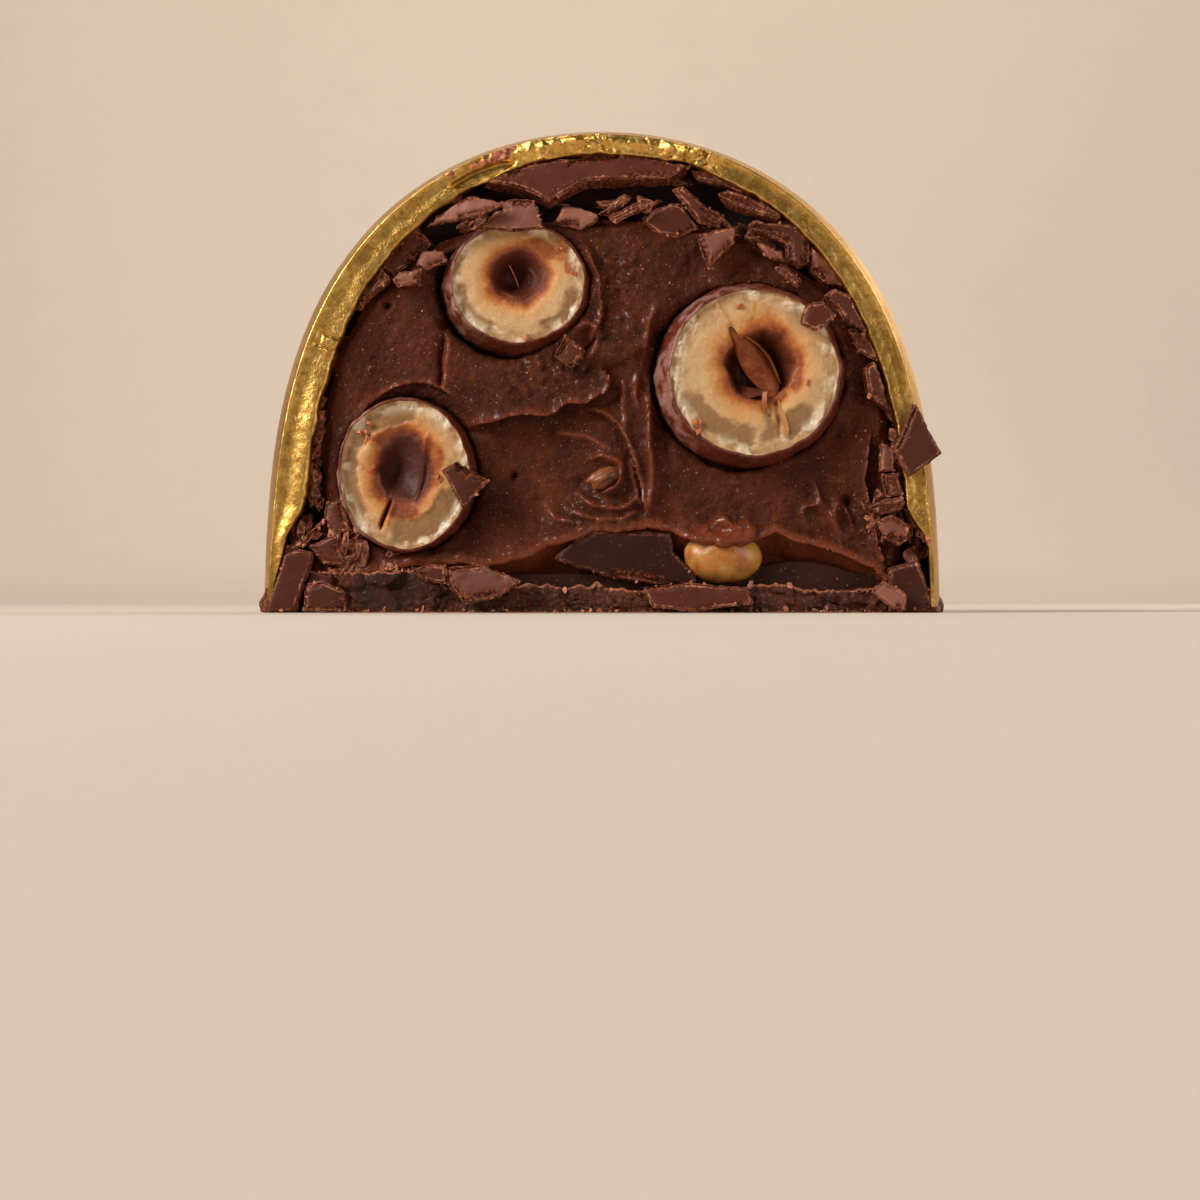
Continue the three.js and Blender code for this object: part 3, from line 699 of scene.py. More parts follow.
# A torn lip: the paste on the left of the line stands over what is right of it.
TORN_LIPS = {
    "spooned": {
        "line": [
            (-7.0, 9.5), (-5.9, 9.95), (-4.0, 10.35), (-2.7, 10.4), (-1.8, 11.0),
            (-0.75, 10.95), (0.0, 11.4), (0.45, 11.95), (0.15, 12.5), (-0.05, 13.1),
        ],
        "step": 0.8, "reach": 1.7, "lip": 0.3, "hang": 0.22,
    },
    "swoosh": {
        "line": [
            (2.35, 4.6), (2.2, 6.1), (1.9, 7.2), (1.5, 8.4), (1.1, 9.5), (0.2, 10.2), (-0.9, 10.7),
        ],
        "step": -0.4, "reach": 0.9, "lip": 0.25, "hang": 0.0,
    },
    "nut_wrap": {
        "line": [(-0.9, 19.3), (-0.35, 18.2), (0.0, 16.6), (-0.05, 15.2), (-0.5, 14.2), (-1.5, 13.5)],
        "step": -0.35, "reach": 0.8, "lip": 0.15, "hang": 0.05,
    },
    "collar": {
        "line": [(-13.0, 9.3), (-12.3, 10.5), (-11.2, 11.4), (-9.9, 11.9), (-8.4, 11.7), (-7.4, 10.9)],
        "step": 0.3, "reach": 0.6, "lip": 0.15, "hang": 0.06,
    },
    "corner_tear": {
        "line": [(14.0, 9.4), (13.7, 8.1), (13.6, 7.2), (13.75, 6.0), (14.0, 4.8), (14.3, 3.6), (14.7, 2.0)],
        "step": -0.6, "reach": 1.2, "lip": 0.15, "hang": 0.1,
    },
}
# Ridges rise from both sides, grooves are ridges with a negative rise.
RIDGES = {
    "long_ridge": ([(2.6, 12.6), (2.5, 11.2), (2.5, 9.6), (2.6, 6.8), (2.45, 4.6)], 0.5, 0.15),
    "wet_fold_high": ([(-1.5, 6.4), (-0.6, 5.7), (0.4, 5.4), (1.4, 5.6), (2.1, 6.4)], 0.46, 0.17),
    "wet_fold_low": ([(-1.9, 5.5), (-0.8, 5.0), (0.6, 4.85), (1.6, 5.1), (2.35, 5.3)], 0.42, 0.16),
    "wet_fold_inner": ([(1.5, 8.0), (1.7, 7.0), (1.9, 6.1), (2.2, 5.2)], 0.36, 0.14),
    "wet_fold_left": ([(-3.0, 5.6), (-2.2, 4.9), (-1.2, 4.6)], 0.34, 0.16),
    "shaved_left": ([(1.3, 12.2), (1.15, 10.8), (1.35, 9.4)], 0.22, 0.12),
    "shaved_right": ([(1.9, 12.6), (1.8, 11.4), (1.95, 10.4)], 0.2, 0.1),
    "low_swell": ([(3.3, 11.0), (3.5, 8.0), (3.3, 5.2)], -0.25, 0.6),
    "groove": ([(-8.15, 14.7), (-8.3, 13.4), (-8.25, 12.3), (-8.35, 11.4)], -0.55, 0.14),
    "groove_lip": ([(-7.9, 14.4), (-8.0, 13.0), (-8.05, 11.6)], 0.2, 0.2),
    "chip_fold": ([(-0.9, 7.9), (0.1, 8.1), (0.9, 7.7), (1.0, 6.9), (0.5, 6.3), (-0.4, 6.2)], 0.6, 0.24),
    "spoon_mark": ([(-2.6, 9.3), (-1.0, 9.2), (0.0, 8.7), (0.7, 8.3)], 0.18, 0.22),
    "drag_high": ([(1.1, 19.0), (0.9, 17.0), (0.9, 15.0)], -0.2, 0.3),
    "drag_middle": ([(3.0, 16.2), (2.4, 14.6), (2.3, 13.2)], 0.25, 0.25),
    "curl": ([(-1.4, 14.6), (-0.7, 14.9), (-0.2, 14.4), (-0.4, 13.5), (-1.2, 13.2)], 0.3, 0.16),
}
HOLES = [(-11.05, 15.9, 0.17), (-4.5, 7.1, 0.15), (-8.1, 14.9, 0.3), (12.7, 5.7, 0.3), (-0.75, 14.0, 0.32)]
LOWER_LIP = [
    (-13.2, 1.9), (-11.0, 2.3), (-9.6, 2.6), (-8.3, 2.65), (-6.6, 2.65), (-5.7, 2.6), (-3.9, 3.0),
    (-2.3, 3.65), (-1.2, 4.05), (-0.3, 4.4), (1.0, 4.3), (2.5, 4.5), (3.7, 4.2), (4.6, 3.95),
    (5.1, 3.75), (6.0, 3.5), (6.9, 3.45), (8.0, 3.75), (8.6, 4.15), (9.0, 4.4), (10.3, 3.75),
    (11.7, 3.35), (12.9, 2.95), (14.0, 2.5), (14.6, 1.8), (15.2, 1.5),
]
UNDERCUT = 0.95
print(len(TORN_LIPS), "torn lips,", len(RIDGES), "ridges,", len(HOLES), "holes")

# %% [markdown]
# The nuts sit in pockets. On one side the paste hugs the skin, on the other it
# has pulled away and leaves a crevice, painted dark as painted shade. Each nut's size
# comes from its own node, and the two angles say where the crevice lies,
# anticlockwise from the right.

# %% Pockets round the nuts
NUTS = {
    "hazelnut_top": {"ratio": 0.84, "crevice": 212, "spread": 85},
    "hazelnut_right": {"ratio": 0.87, "crevice": 198, "spread": 92},
    "hazelnut_left": {"ratio": 0.93, "crevice": 40, "spread": 110},
}
for nut_name, nut in NUTS.items():
    nut_low, nut_high = node_box(nut_name)
    nut["middle"] = (nut_low + nut_high) / 2
    nut["half"] = (nut_high - nut_low) / 2
    nut["face"] = nut_low[1]
    slant = np.sqrt(1 - nut["ratio"] ** 2)
    nut["deep"] = (nut_high[1] - nut_low[1]) / (1 + slant)
    nut["widest"] = nut["face"] + nut["deep"] * slant
    print(nut_name, "half sizes", nut["half"].round(2), "widest at y", round(nut["widest"], 2))


def pocket_edge(nut, angle):
    """Where the paste meets the nut, as a share of the nut's widest outline."""
    away = np.degrees(np.abs((angle - np.radians(nut["crevice"]) + np.pi) % (2 * np.pi) - np.pi))
    open_side = 1 - smooth(0.6 * nut["spread"], nut["spread"], away)
    hug = np.sqrt(max(1 - ((nut["widest"] - FACE_Y) / nut["deep"]) ** 2, 0))
    return hug + 0.012 + (1.02 - hug) * open_side, open_side


# %% [markdown]
# Now the face itself. A square grid is bent onto the arch of the cut, which keeps
# its squares nearly even. The relief is summed up from broad swells, pebbly
# places where the paste is full of chopped nut, the lips, ridges and holes, the
# nut pockets, and the lower lip that hangs over the base. Behind the face the
# mesh follows the dome round to the back, so it is one closed body.

# %% Filling mesh
GRID_ACROSS = 400
GRID_UP = 200
# How far the smeared face stops short of the shell, in millimetres, by its angle
# from the right foot over the top to the left one.
FACE_GAP = [
    (0, 1.9), (16, 0.9), (30, 0.4), (38, 0.28), (45, 0.45), (52, 0.85), (60, 1.7), (70, 2.4),
    (85, 3.35), (100, 3.1), (114, 1.7), (124, 1.0), (131, 0.42), (142, 0.22), (150, 0.35),
    (158, 0.65), (167, 1.1), (180, 1.6),
]
SKIRT_BACK = 2.0  # the smear is this deep, measured from the cut


def arch_grid():
    """Points of the face as x and z, row by row from the bottom, in even squares."""
    s = np.linspace(-1, 1, GRID_ACROSS)[None, :]
    t = np.linspace(0, 1, GRID_UP)[:, None]
    across = (s * np.sqrt(1 - t**2 / 2)).ravel()
    up = (t * np.sqrt(1 - s**2 / 2)).ravel()
    angle = np.arctan2(up, across)
    fine = np.linspace(0, np.pi, 2000)
    edge = arch(fine, FACE_Y, "hollow", FILLING_FLOOR)
    size = np.hypot(edge[:, 0] - HOLLOW_SHIFT, edge[:, 2] - FILLING_FLOOR)
    size -= np.interp(np.degrees(fine), *np.array(FACE_GAP).T)
    size += 0.10 * layered(edge, 1.4, 68) - 0.06 * np.abs(noise(edge, 0.4, 69))
    far = np.interp(angle, fine, size) * np.hypot(across, up)
    return HOLLOW_SHIFT + far * np.cos(angle), FILLING_FLOOR + far * np.sin(angle), np.hypot(across, up)


def snap(x, z, offset, distance, grip=0.07):
    """Moves the points that are close to a line onto it."""
    pull = np.exp(-((distance / grip) ** 2))
    return x - offset[0] * pull, z - offset[1] * pull


def filling_face():
    x, z, edge = arch_grid()
    flat = np.stack([x, 0 * x, z], axis=1)
    wander = np.stack([noise(flat, 0.8, 71), noise(flat, 0.8, 72)])
    wander = 0.10 * wander + 0.04 * np.stack([noise(flat, 0.22, 73), noise(flat, 0.22, 74)])
    lip = np.zeros(len(x))
    relief = 0.14 * noise(flat, 4.2, 61) + 0.06 * noise(flat, 1.6, 62)
    hang_x, hang_z = np.zeros(len(x)), np.zeros(len(x))
    for torn in TORN_LIPS.values():
        line = curved(torn["line"])
        distance, offset, side, along = near_line(x + wander[0], z + wander[1], line)
        x, z = snap(x, z, offset, distance)
        ends = smooth(0.0, 0.12, along) * smooth(0.0, 0.12, 1 - along)
        over = (side * np.sign(torn["step"]) > 0) | (distance < 0.045)
        fade = np.exp(-distance / torn["reach"])
        step = abs(torn["step"]) * ends
        relief += np.where(over, 0.4 * step * fade, -0.6 * step * fade)
        crest = over * hill(distance, 0.24) * ends
        relief += torn["lip"] * crest * (0.75 + 0.5 * noise(flat, 0.3, 75))
        lip = np.maximum(lip, over * hill(distance, 0.13) * ends)
        away = -offset / np.maximum(distance, 1e-6)
        hang = torn["hang"] * over * hill(distance, 0.2) * ends
        hang_x += hang * away[0] * (distance > 0.045)
        hang_z += np.where(distance > 0.045, hang * away[1], -hang)
    for line, rise, width in RIDGES.values():
        distance, offset, side, along = near_line(x + wander[0], z + wander[1], curved(line))
        ends = smooth(0.0, 0.2, along) * smooth(0.0, 0.2, 1 - along)
        relief += rise * np.exp(-(distance / width)) * ends
        if rise > 0:
            lip = np.maximum(lip, 0.8 * hill(distance, 0.12) * ends)
    for hole_x, hole_z, size in HOLES:
        relief -= 0.6 * hill(np.hypot(x - hole_x, z - hole_z), size)
    # the spooned hollow, the lump over the whole nut and creases at the lower right
    relief -= 0.55 * region(x, z, (-3.0, 7.4), (3.4, 2.7))
    lump_x, lump_z = x + 0.45 * noise(flat, 0.9, 83), z + 0.30 * noise(flat, 0.7, 84)
    lump = region(lump_x, lump_z, (6.3, 4.1), (2.1, 0.8))
    relief += (0.75 + 0.35 * noise(flat, 0.45, 85)) * lump
    lip = np.maximum(lip, 0.75 * lump)
    creases = region(x, z, (11.8, 5.2), (1.6, 1.9))
    wrinkle = 1 - np.abs(noise(np.stack([x + 0.35 * z, 0 * x, 0.35 * z], axis=1), 0.55, 81))
    relief += creases * 0.62 * (wrinkle**4 - 0.35) * (0.8 + 0.5 * noise(flat, 0.9, 82))
    lip = np.maximum(lip, 0.5 * creases * wrinkle**6)
    grainy = np.maximum.reduce([
        region(x, z, (0.6, 16.6), (2.6, 3.2)),
        region(x, z, (-2.6, 12.2), (3.2, 1.5)),
        region(x, z, (-0.2, 5.2), (2.8, 1.2)),
        0.6 * region(x, z, (1.4, 13.6), (1.2, 2.6)),
        0.8 * region(x, z, (6.6, 4.5), (2.0, 0.7)),
        0.3 * region(x, z, (11.8, 5.2), (1.6, 1.9)),
        0.35 + 0 * x,
    ])
    pebble = pebbles(flat, 0.42, 91)
    relief += grainy * (0.20 * (0.55 - pebble) + 0.10 * layered(flat, 0.36, 92, 2))
    relief += (1 - grainy) * (0.07 * layered(flat, 0.6, 95, 3) + 0.05 * (0.5 - pebbles(flat, 0.26, 97)))
    # the outer edge rounds off and crumbles
    relief -= 0.55 * smooth(0.965, 1.0, edge + 0.012 * noise(flat, 1.2, 63)) ** 1.5
    # nut pockets
    y = FACE_Y - relief
    crevice = np.zeros(len(x))
    for nut in NUTS.values():
        dx, dz = x - nut["middle"][0], z - nut["middle"][2]
        size = np.hypot(dx / nut["half"][0], dz / nut["half"][2])
        angle = np.arctan2(dz / nut["half"][2], dx / nut["half"][0])
        wall, open_side = pocket_edge(nut, angle)
        wall = wall + 0.030 * noise(flat, 1.1, 64) + 0.014 * noise(flat, 0.35, 76)
        radius = np.hypot(dx, dz) / np.maximum(size, 1e-6)
        distance = (size - wall) * radius
        pull = np.exp(-((distance / 0.07) ** 2))
        x = x - dx / np.maximum(np.hypot(dx, dz), 1e-6) * distance * pull
        z = z - dz / np.maximum(np.hypot(dx, dz), 1e-6) * distance * pull
        inside = distance < -0.05
        y = y - 0.16 * (1 - open_side) * hill(distance - 0.25, 0.25)
        y = y + open_side * 0.5 * np.exp(-np.abs(distance) / 0.35)
        y = np.where(inside, nut["widest"] + 0.35, y)
        crevice = np.maximum(crevice, np.exp(-np.abs(distance) / 0.25) * open_side)
        lip = lip * ~inside
    # the lower lip and the hollow under it
    line = np.array(LOWER_LIP)
    wavy = noise(np.stack([x, 0 * x, 0 * x], axis=1), 0.9, 65)
    wavy = 0.10 * wavy + 0.05 * noise(np.stack([x, 0 * x, 0 * x], axis=1), 0.25, 66)
    edge_z = np.interp(x, line[:, 0], line[:, 1]) + wavy
    above = z - edge_z
    z = z - above * np.exp(-((above / 0.07) ** 2))
    over = above > -0.05
    y = y - (0.36 + 0.12 * noise(flat, 0.6, 77)) * hill(above - 0.15, 0.35) * over
    lip = np.maximum(lip, over * hill(above, 0.24))
    hang_z -= 0.18 * over * hill(above, 0.22)
    hollow = 0.22 + UNDERCUT * smooth(0.1, 1.4, -above)
    y = np.where(over, y, FACE_Y + hollow + 0.07 * layered(flat, 0.7, 67))
    low = 1 - smooth(0.0, 0.5, z - FILLING_FLOOR)
    y = np.where(over & (x < -9.0), y + 0.4 * low, y)
    z = np.maximum(z + hang_z, FILLING_FLOOR)
    x = x + hang_x
    masks = {"lip": lip, "grainy": grainy, "crevice": crevice, "under": 1.0 - over}
    masks["ochre"] = region(x, z, (-3.4, 7.6), (2.6, 2.0))
    return np.stack([x, y, z], axis=1), masks


def outer_loop():
    """Grid numbers of the arch's edge, from the right foot over the top to the left foot."""
    right = np.arange(GRID_UP) * GRID_ACROSS + GRID_ACROSS - 1
    top = (GRID_UP - 1) * GRID_ACROSS + np.arange(GRID_ACROSS - 2, -1, -1)
    left = np.arange(GRID_UP - 2, -1, -1) * GRID_ACROSS
    return np.concatenate([right, top, left])


def filling():
    points, masks = filling_face()
    loop = outer_loop()
    edge = points[loop]
    angles = np.arctan2(edge[:, 2] - FILLING_FLOOR, edge[:, 0] - HOLLOW_SHIFT)
    angles[0], angles[-1] = 0.0, np.pi
    back = dome_back(angles, FACE_Y + 2.6, 9, "filling", FILLING_FLOOR)
    skirt = edge * np.array([0.985, 1, 0.985])
    skirt[:, 1] = CUT_Y + SKIRT_BACK
    skirt[:, 2] = np.maximum(skirt[:, 2], FILLING_FLOOR)
    rows = np.concatenate([skirt[None], back]).reshape(-1, 3)
    start = len(points)
    count = len(loop)
    first = np.stack([loop[:-1], loop[1:], start + np.arange(1, count), start + np.arange(count - 1)], 1)
    faces = np.concatenate([grid_faces(GRID_UP, GRID_ACROSS), first, grid_faces(10, count) + start])
    masks = {k: np.concatenate([v, np.zeros(len(rows))]) for k, v in masks.items()}
    points = np.concatenate([points, rows])
    return new_piece("soft_filling", points, faces, masks, hole_fill=True)


def filling_finish():
    """Hazelnut paste: dull dark brown full of fine grains, wet where it tore."""
    constants = {
        "Subsurface Weight": 0.06,
        "Subsurface Radius": (1.0, 0.45, 0.25),
        "Subsurface Scale": 0.4 * MM,
        "Coat Roughness": 0.16,
        "Specular IOR Level": 0.13,
    }
    finish = Finish("hazelnut_paste", constants)
    lip, grainy, crevice, under, ochre = (
        finish.mask(m) for m in ("lip", "grainy", "crevice", "under", "ochre")
    )
    broad = finish.grain(2.4, detail=3)
    tone = finish.tint(colour(68, 27, 10), colour(92, 41, 19), finish.between(broad, 0.35, 0.68))
    tone = finish.tint(tone, colour(104, 48, 14), ochre * finish.between(finish.grain(1.2), 0.4, 0.65) * 0.7)
    rusty = finish.between(finish.grain(0.45, detail=4), 0.50, 0.74)
    tone = finish.tint(tone, colour(122, 58, 32), grainy * rusty * 0.7)
    mottle = finish.between(finish.grain(0.30, detail=5, rough=0.7), 0.44, 0.62)
    tone = finish.tint(tone, colour(46, 19, 10), mottle * (0.28 + grainy * 0.25))
    # painted glow and highlight: the torn lips, ridge crests, the lump and the creases are painted paler orange,
    # as where light shines through thin paste
    tone = finish.tint(tone, colour(150, 68, 36), lip * 0.7)
    # pale nut flecks, partly painted glints: small pale specks over the paste
    flecks = finish.between(finish.grain(0.09, detail=1), 0.71, 0.77)
    tone = finish.tint(tone, colour(212, 158, 126), flecks * 0.7)
    # painted shade: the crevices where the paste pulled away from the nuts are painted near black
    tone = finish.tint(tone, colour(22, 9, 5), finish.between(crevice, 0.3, 1.0) * 0.8)
    # painted light: the hollow under the lower lip is painted paler than the paste, lifting the shade of the
    # overhang
    tone = finish.tint(tone, colour(112, 52, 28), under * 0.8)
    finish.feed("Base Color", tone)
    gloss = finish.grain(0.13, detail=3)
    wet = finish.between(gloss, 0.48, 0.68)
    finish.feed("Roughness", 0.55 - grainy * wet * 0.20 - lip * 0.16)
    finish.feed("Coat Weight", grainy * wet * 0.32 + lip * 0.6 + wet * 0.05)
    grit = finish.bump(finish.grain(0.085, detail=2), 0.016)
    grains = finish.bump(finish.cells(0.17), 0.030, grit)
    coarse = finish.grain(0.34, detail=6, rough=0.7) * (0.6 + grainy)
    finish.feed("Normal", finish.bump(coarse, 0.10, grains))
    return finish.material


paste = filling()
dress(paste, filling_finish(), "filling", "filling")

# %% [markdown]
# Each cut nut is a whole kernel sliced open: brown skin round the outside, cream
# flesh, a toasted orange ring and a dark hollow heart. It could be a scaled ball
# with a picture of a nut on it, but the heart is a real hollow that catches the
# light. So the face is a fine round grid pushed in by a formula, with cracks and
# lobes of its own for each nut, and the skin carries on round the back.

# %% Nut faces
NUT_COLUMNS = 240
FACE_ROWS = 80
SIDE_ROWS = 28
SKIN_SHARE = 0.035
HEARTS = {
    "hazelnut_top": {
        "middle": (0.0, 0.41), "size": (1.32, 1.28), "deep": 1.5, "lobes": 0.07, "seed": 11,
        "apex": (-0.3, 0.1), "soft": 0.25, "crisp": 0.35, "shift": (0.0, 0.15), "warm": 0.03,
        "cracks": [
            ([(-0.5, 1.2), (-0.35, 0.8), (-0.15, 0.4), (0.05, 0.0)], 0.5, 0.08, 0.9),
            ([(0.45, 0.95), (0.75, 0.6), (0.8, 0.2), (0.6, -0.2)], -0.15, 0.10, 0.9),
            ([(0.15, 0.7), (0.5, 0.45), (0.55, 0.0)], -0.12, 0.08, 0.9),
            ([(-0.95, -0.15), (-0.4, -0.6), (0.3, -0.65), (0.95, -0.2)], -0.18, 0.12, 0.8),
        ],
    },
    "hazelnut_right": {
        "middle": (0.33, 0.36), "size": (1.75, 1.72), "deep": 2.3, "lobes": 0.06, "seed": 23,
        "apex": (-0.35, -0.3), "soft": 0.45, "crisp": 0.0, "shift": (0.22, 0.03), "warm": 0.0,
        "cracks": [
            ([(-1.25, 2.6), (-0.9, 1.6), (-0.5, 0.6), (0.0, -0.2), (0.64, -0.8), (1.15, -1.35)], 0.8, 0.13, 0.7),
            ([(1.15, -1.3), (1.25, -2.2), (1.32, -3.0), (1.36, -3.7)], 0.24, 0.22, 0.3),
            ([(-2.24, 4.0), (-1.7, 3.2), (-1.2, 2.5)], -0.12, 0.12, 0.2),
            ([(0.12, 3.8), (0.05, 3.1), (-0.08, 2.45)], 0.06, 0.05, 0.3),
        ],
    },
    "hazelnut_left": {
        "middle": (-0.1, 0.3), "size": (1.18, 1.65), "deep": 1.1, "lobes": 0.10, "seed": 37,
        "apex": (-0.6, 0.0), "soft": 0.0, "crisp": 1.0, "shift": (-0.1, 0.03), "warm": 0.14,
        "cracks": [
            ([(-0.7, -1.2), (-0.85, -1.7), (-1.05, -2.2), (-1.28, -3.05)], 0.5, 0.10, 0.72),
            ([(-0.5, -1.4), (-0.7, -2.0), (-0.95, -2.9)], -0.14, 0.13, 0.42),
            ([(1.35, 2.3), (1.1, 1.6), (1.0, 0.5), (0.75, -0.85), (0.5, -1.5)], -0.24, 0.10, 0.66),
            ([(-1.7, 0.5), (-1.3, 0.1), (-1.15, -0.5), (-0.8, -1.3)], -0.16, 0.12, 0.5),
        ],
    },
}
# Places that the roast reached beyond the ring: x, z, half width, half height and heat.
SCORCHED = {
    "hazelnut_top": [(0.9, 1.7, 1.7, 0.8, 0.54), (2.2, 1.6, 0.7, 0.7, 0.45), (2.7, 0.9, 0.5, 0.4, 0.5)],
    "hazelnut_right": [(1.1, -1.2, 0.6, 0.5, 0.62), (1.95, 0.2, 0.8, 1.4, 0.60)],
    "hazelnut_left": [(-0.5, 1.8, 1.4, 0.8, 0.54), (1.4, 0.6, 0.7, 1.6, 0.42), (-0.1, -1.8, 1.0, 0.6, 0.54),
                      (-1.2, -0.6, 0.6, 0.9, 0.5)],
}
# The roast fades from the heart outwards: distance as a share of the heart, and heat.
TOAST_REACH = (0.0, 0.70, 0.92, 1.06, 1.22, 1.46, 1.95)
TOAST_HEAT = (1.0, 0.92, 0.80, 0.66, 0.48, 0.22, 0.0)
# Translucent stretches along the rim: from angle, to angle, and from and to which share of the face.
CLEAR_ARCS = {
    "hazelnut_right": [(200, 272, 0.66, 0.93), (281, 289, 0.42, 0.88), (296, 328, 0.62, 0.92)],
    "hazelnut_left": [(80, 150, 0.70, 0.96), (150, 228, 0.72, 0.96), (262, 345, 0.62, 0.96)],
    "hazelnut_top": [(185, 240, 0.78, 0.96), (300, 352, 0.76, 0.96)],
}
PETAL = (-1.7, 0.95, 0.78, 0.82)  # the left nut's heart has a lobe of flesh that curls up on its left


def from_apex(across, up, apex):
    """How far a point lies on the way from the heart's deepest place (0) to its rim (1)."""
    off_x, off_z = across - apex[0], up - apex[1]
    reach = off_x**2 + off_z**2
    lean = apex[0] * off_x + apex[1] * off_z
    root = np.sqrt(lean**2 + reach * (1 - apex[0] ** 2 - apex[1] ** 2))
    return reach / np.maximum(root - lean, 1e-9)


def nut_surface(name):
    """A cut nut's points and masks, row by row from the heart over the skin to the back."""
    nut = NUTS[name]
    heart = HEARTS[name]
    angle = 2 * np.pi * np.arange(NUT_COLUMNS) / NUT_COLUMNS
    ring = np.stack([np.cos(angle), 0 * angle, np.sin(angle)], axis=1)
    uneven = 1 + 0.014 * noise(ring, 0.5, heart["seed"]) + 0.009 * noise(ring, 0.10, 5)
    share = np.concatenate([np.linspace(0.004, 1, FACE_ROWS)[:, None] * np.ones(NUT_COLUMNS)])
    u = nut["half"][0] * nut["ratio"] * share * ring[:, 0] * uneven
    v = nut["half"][2] * nut["ratio"] * share * ring[:, 2] * uneven
    depth, masks = heart_relief(name, u.ravel(), v.ravel(), share.ravel())
    y = nut["face"] + 0.10 + depth.reshape(u.shape)
    shift = np.array([heart["shift"][0], 0, heart["shift"][1]])
    face = np.stack([u, y, v], axis=-1) + shift
    # the skin: a thin raised lip, then round the kernel to its back
    edge = nut["ratio"] * uneven
    peel = 0.5 + 0.5 * layered(ring, 0.5, heart["seed"] + 20)
    lip = []
    for grow, back in ((0.0, -0.02), (0.4 * SKIN_SHARE, -0.05), (SKIN_SHARE, 0.0)):
        rolled = skin_ring(nut, ring, edge + grow * (0.4 + peel), nut["face"] + back * (0.5 + 2 * peel))
        lip.append(rolled + shift)
    start = np.arcsin(np.minimum(nut["ratio"] + SKIN_SHARE, 1))
    sides = []
    for turn in np.linspace(0, 1, SIDE_ROWS)[1:] ** 1.3:
        lean = start + (np.pi - 0.01 - start) * turn
        blend = 1 - turn
        size = np.sin(lean) * (1 + (uneven - 1) * blend)
        around = skin_ring(nut, ring, size, nut["widest"] - nut["deep"] * np.cos(lean))
        sides.append(around + shift * max(1 - 4 * turn, 0))
    points = np.concatenate([face, np.array(lip), np.array(sides)])
    flat = points.reshape(-1, 3)
    skin = np.zeros(points.shape[:2])
    skin[FACE_ROWS:] = 1
    out = flat / np.maximum(np.linalg.norm(flat, axis=1)[:, None], 1e-6)
    wrinkle = (0.08 * layered(flat, 1.0, heart["seed"], 4) + 0.025 * noise(flat, 0.16, 6)) * skin.ravel()
    flat = flat + out * wrinkle[:, None]
    flat = flat + np.array([nut["middle"][0], 0, nut["middle"][2]])
    count = len(flat)
    full = {k: np.concatenate([m, np.zeros(count - len(m))]) for k, m in masks.items()}
    full["skin"] = skin.ravel()
    # painted light: the side of the skin that faces up and left, towards the key light, is marked for a paler
    # purple-grey
    full["bloom"] = (skin * smooth(0.0, 0.8, 0.3 * ring[:, 2] - ring[:, 0])).ravel()
    return flat, full


def skin_ring(nut, ring, size, y):
    """One ring of skin round the nut's axis."""
    made = ring * nut["half"] * np.broadcast_to(size, len(ring))[:, None]
    made[:, 1] = y
    return made


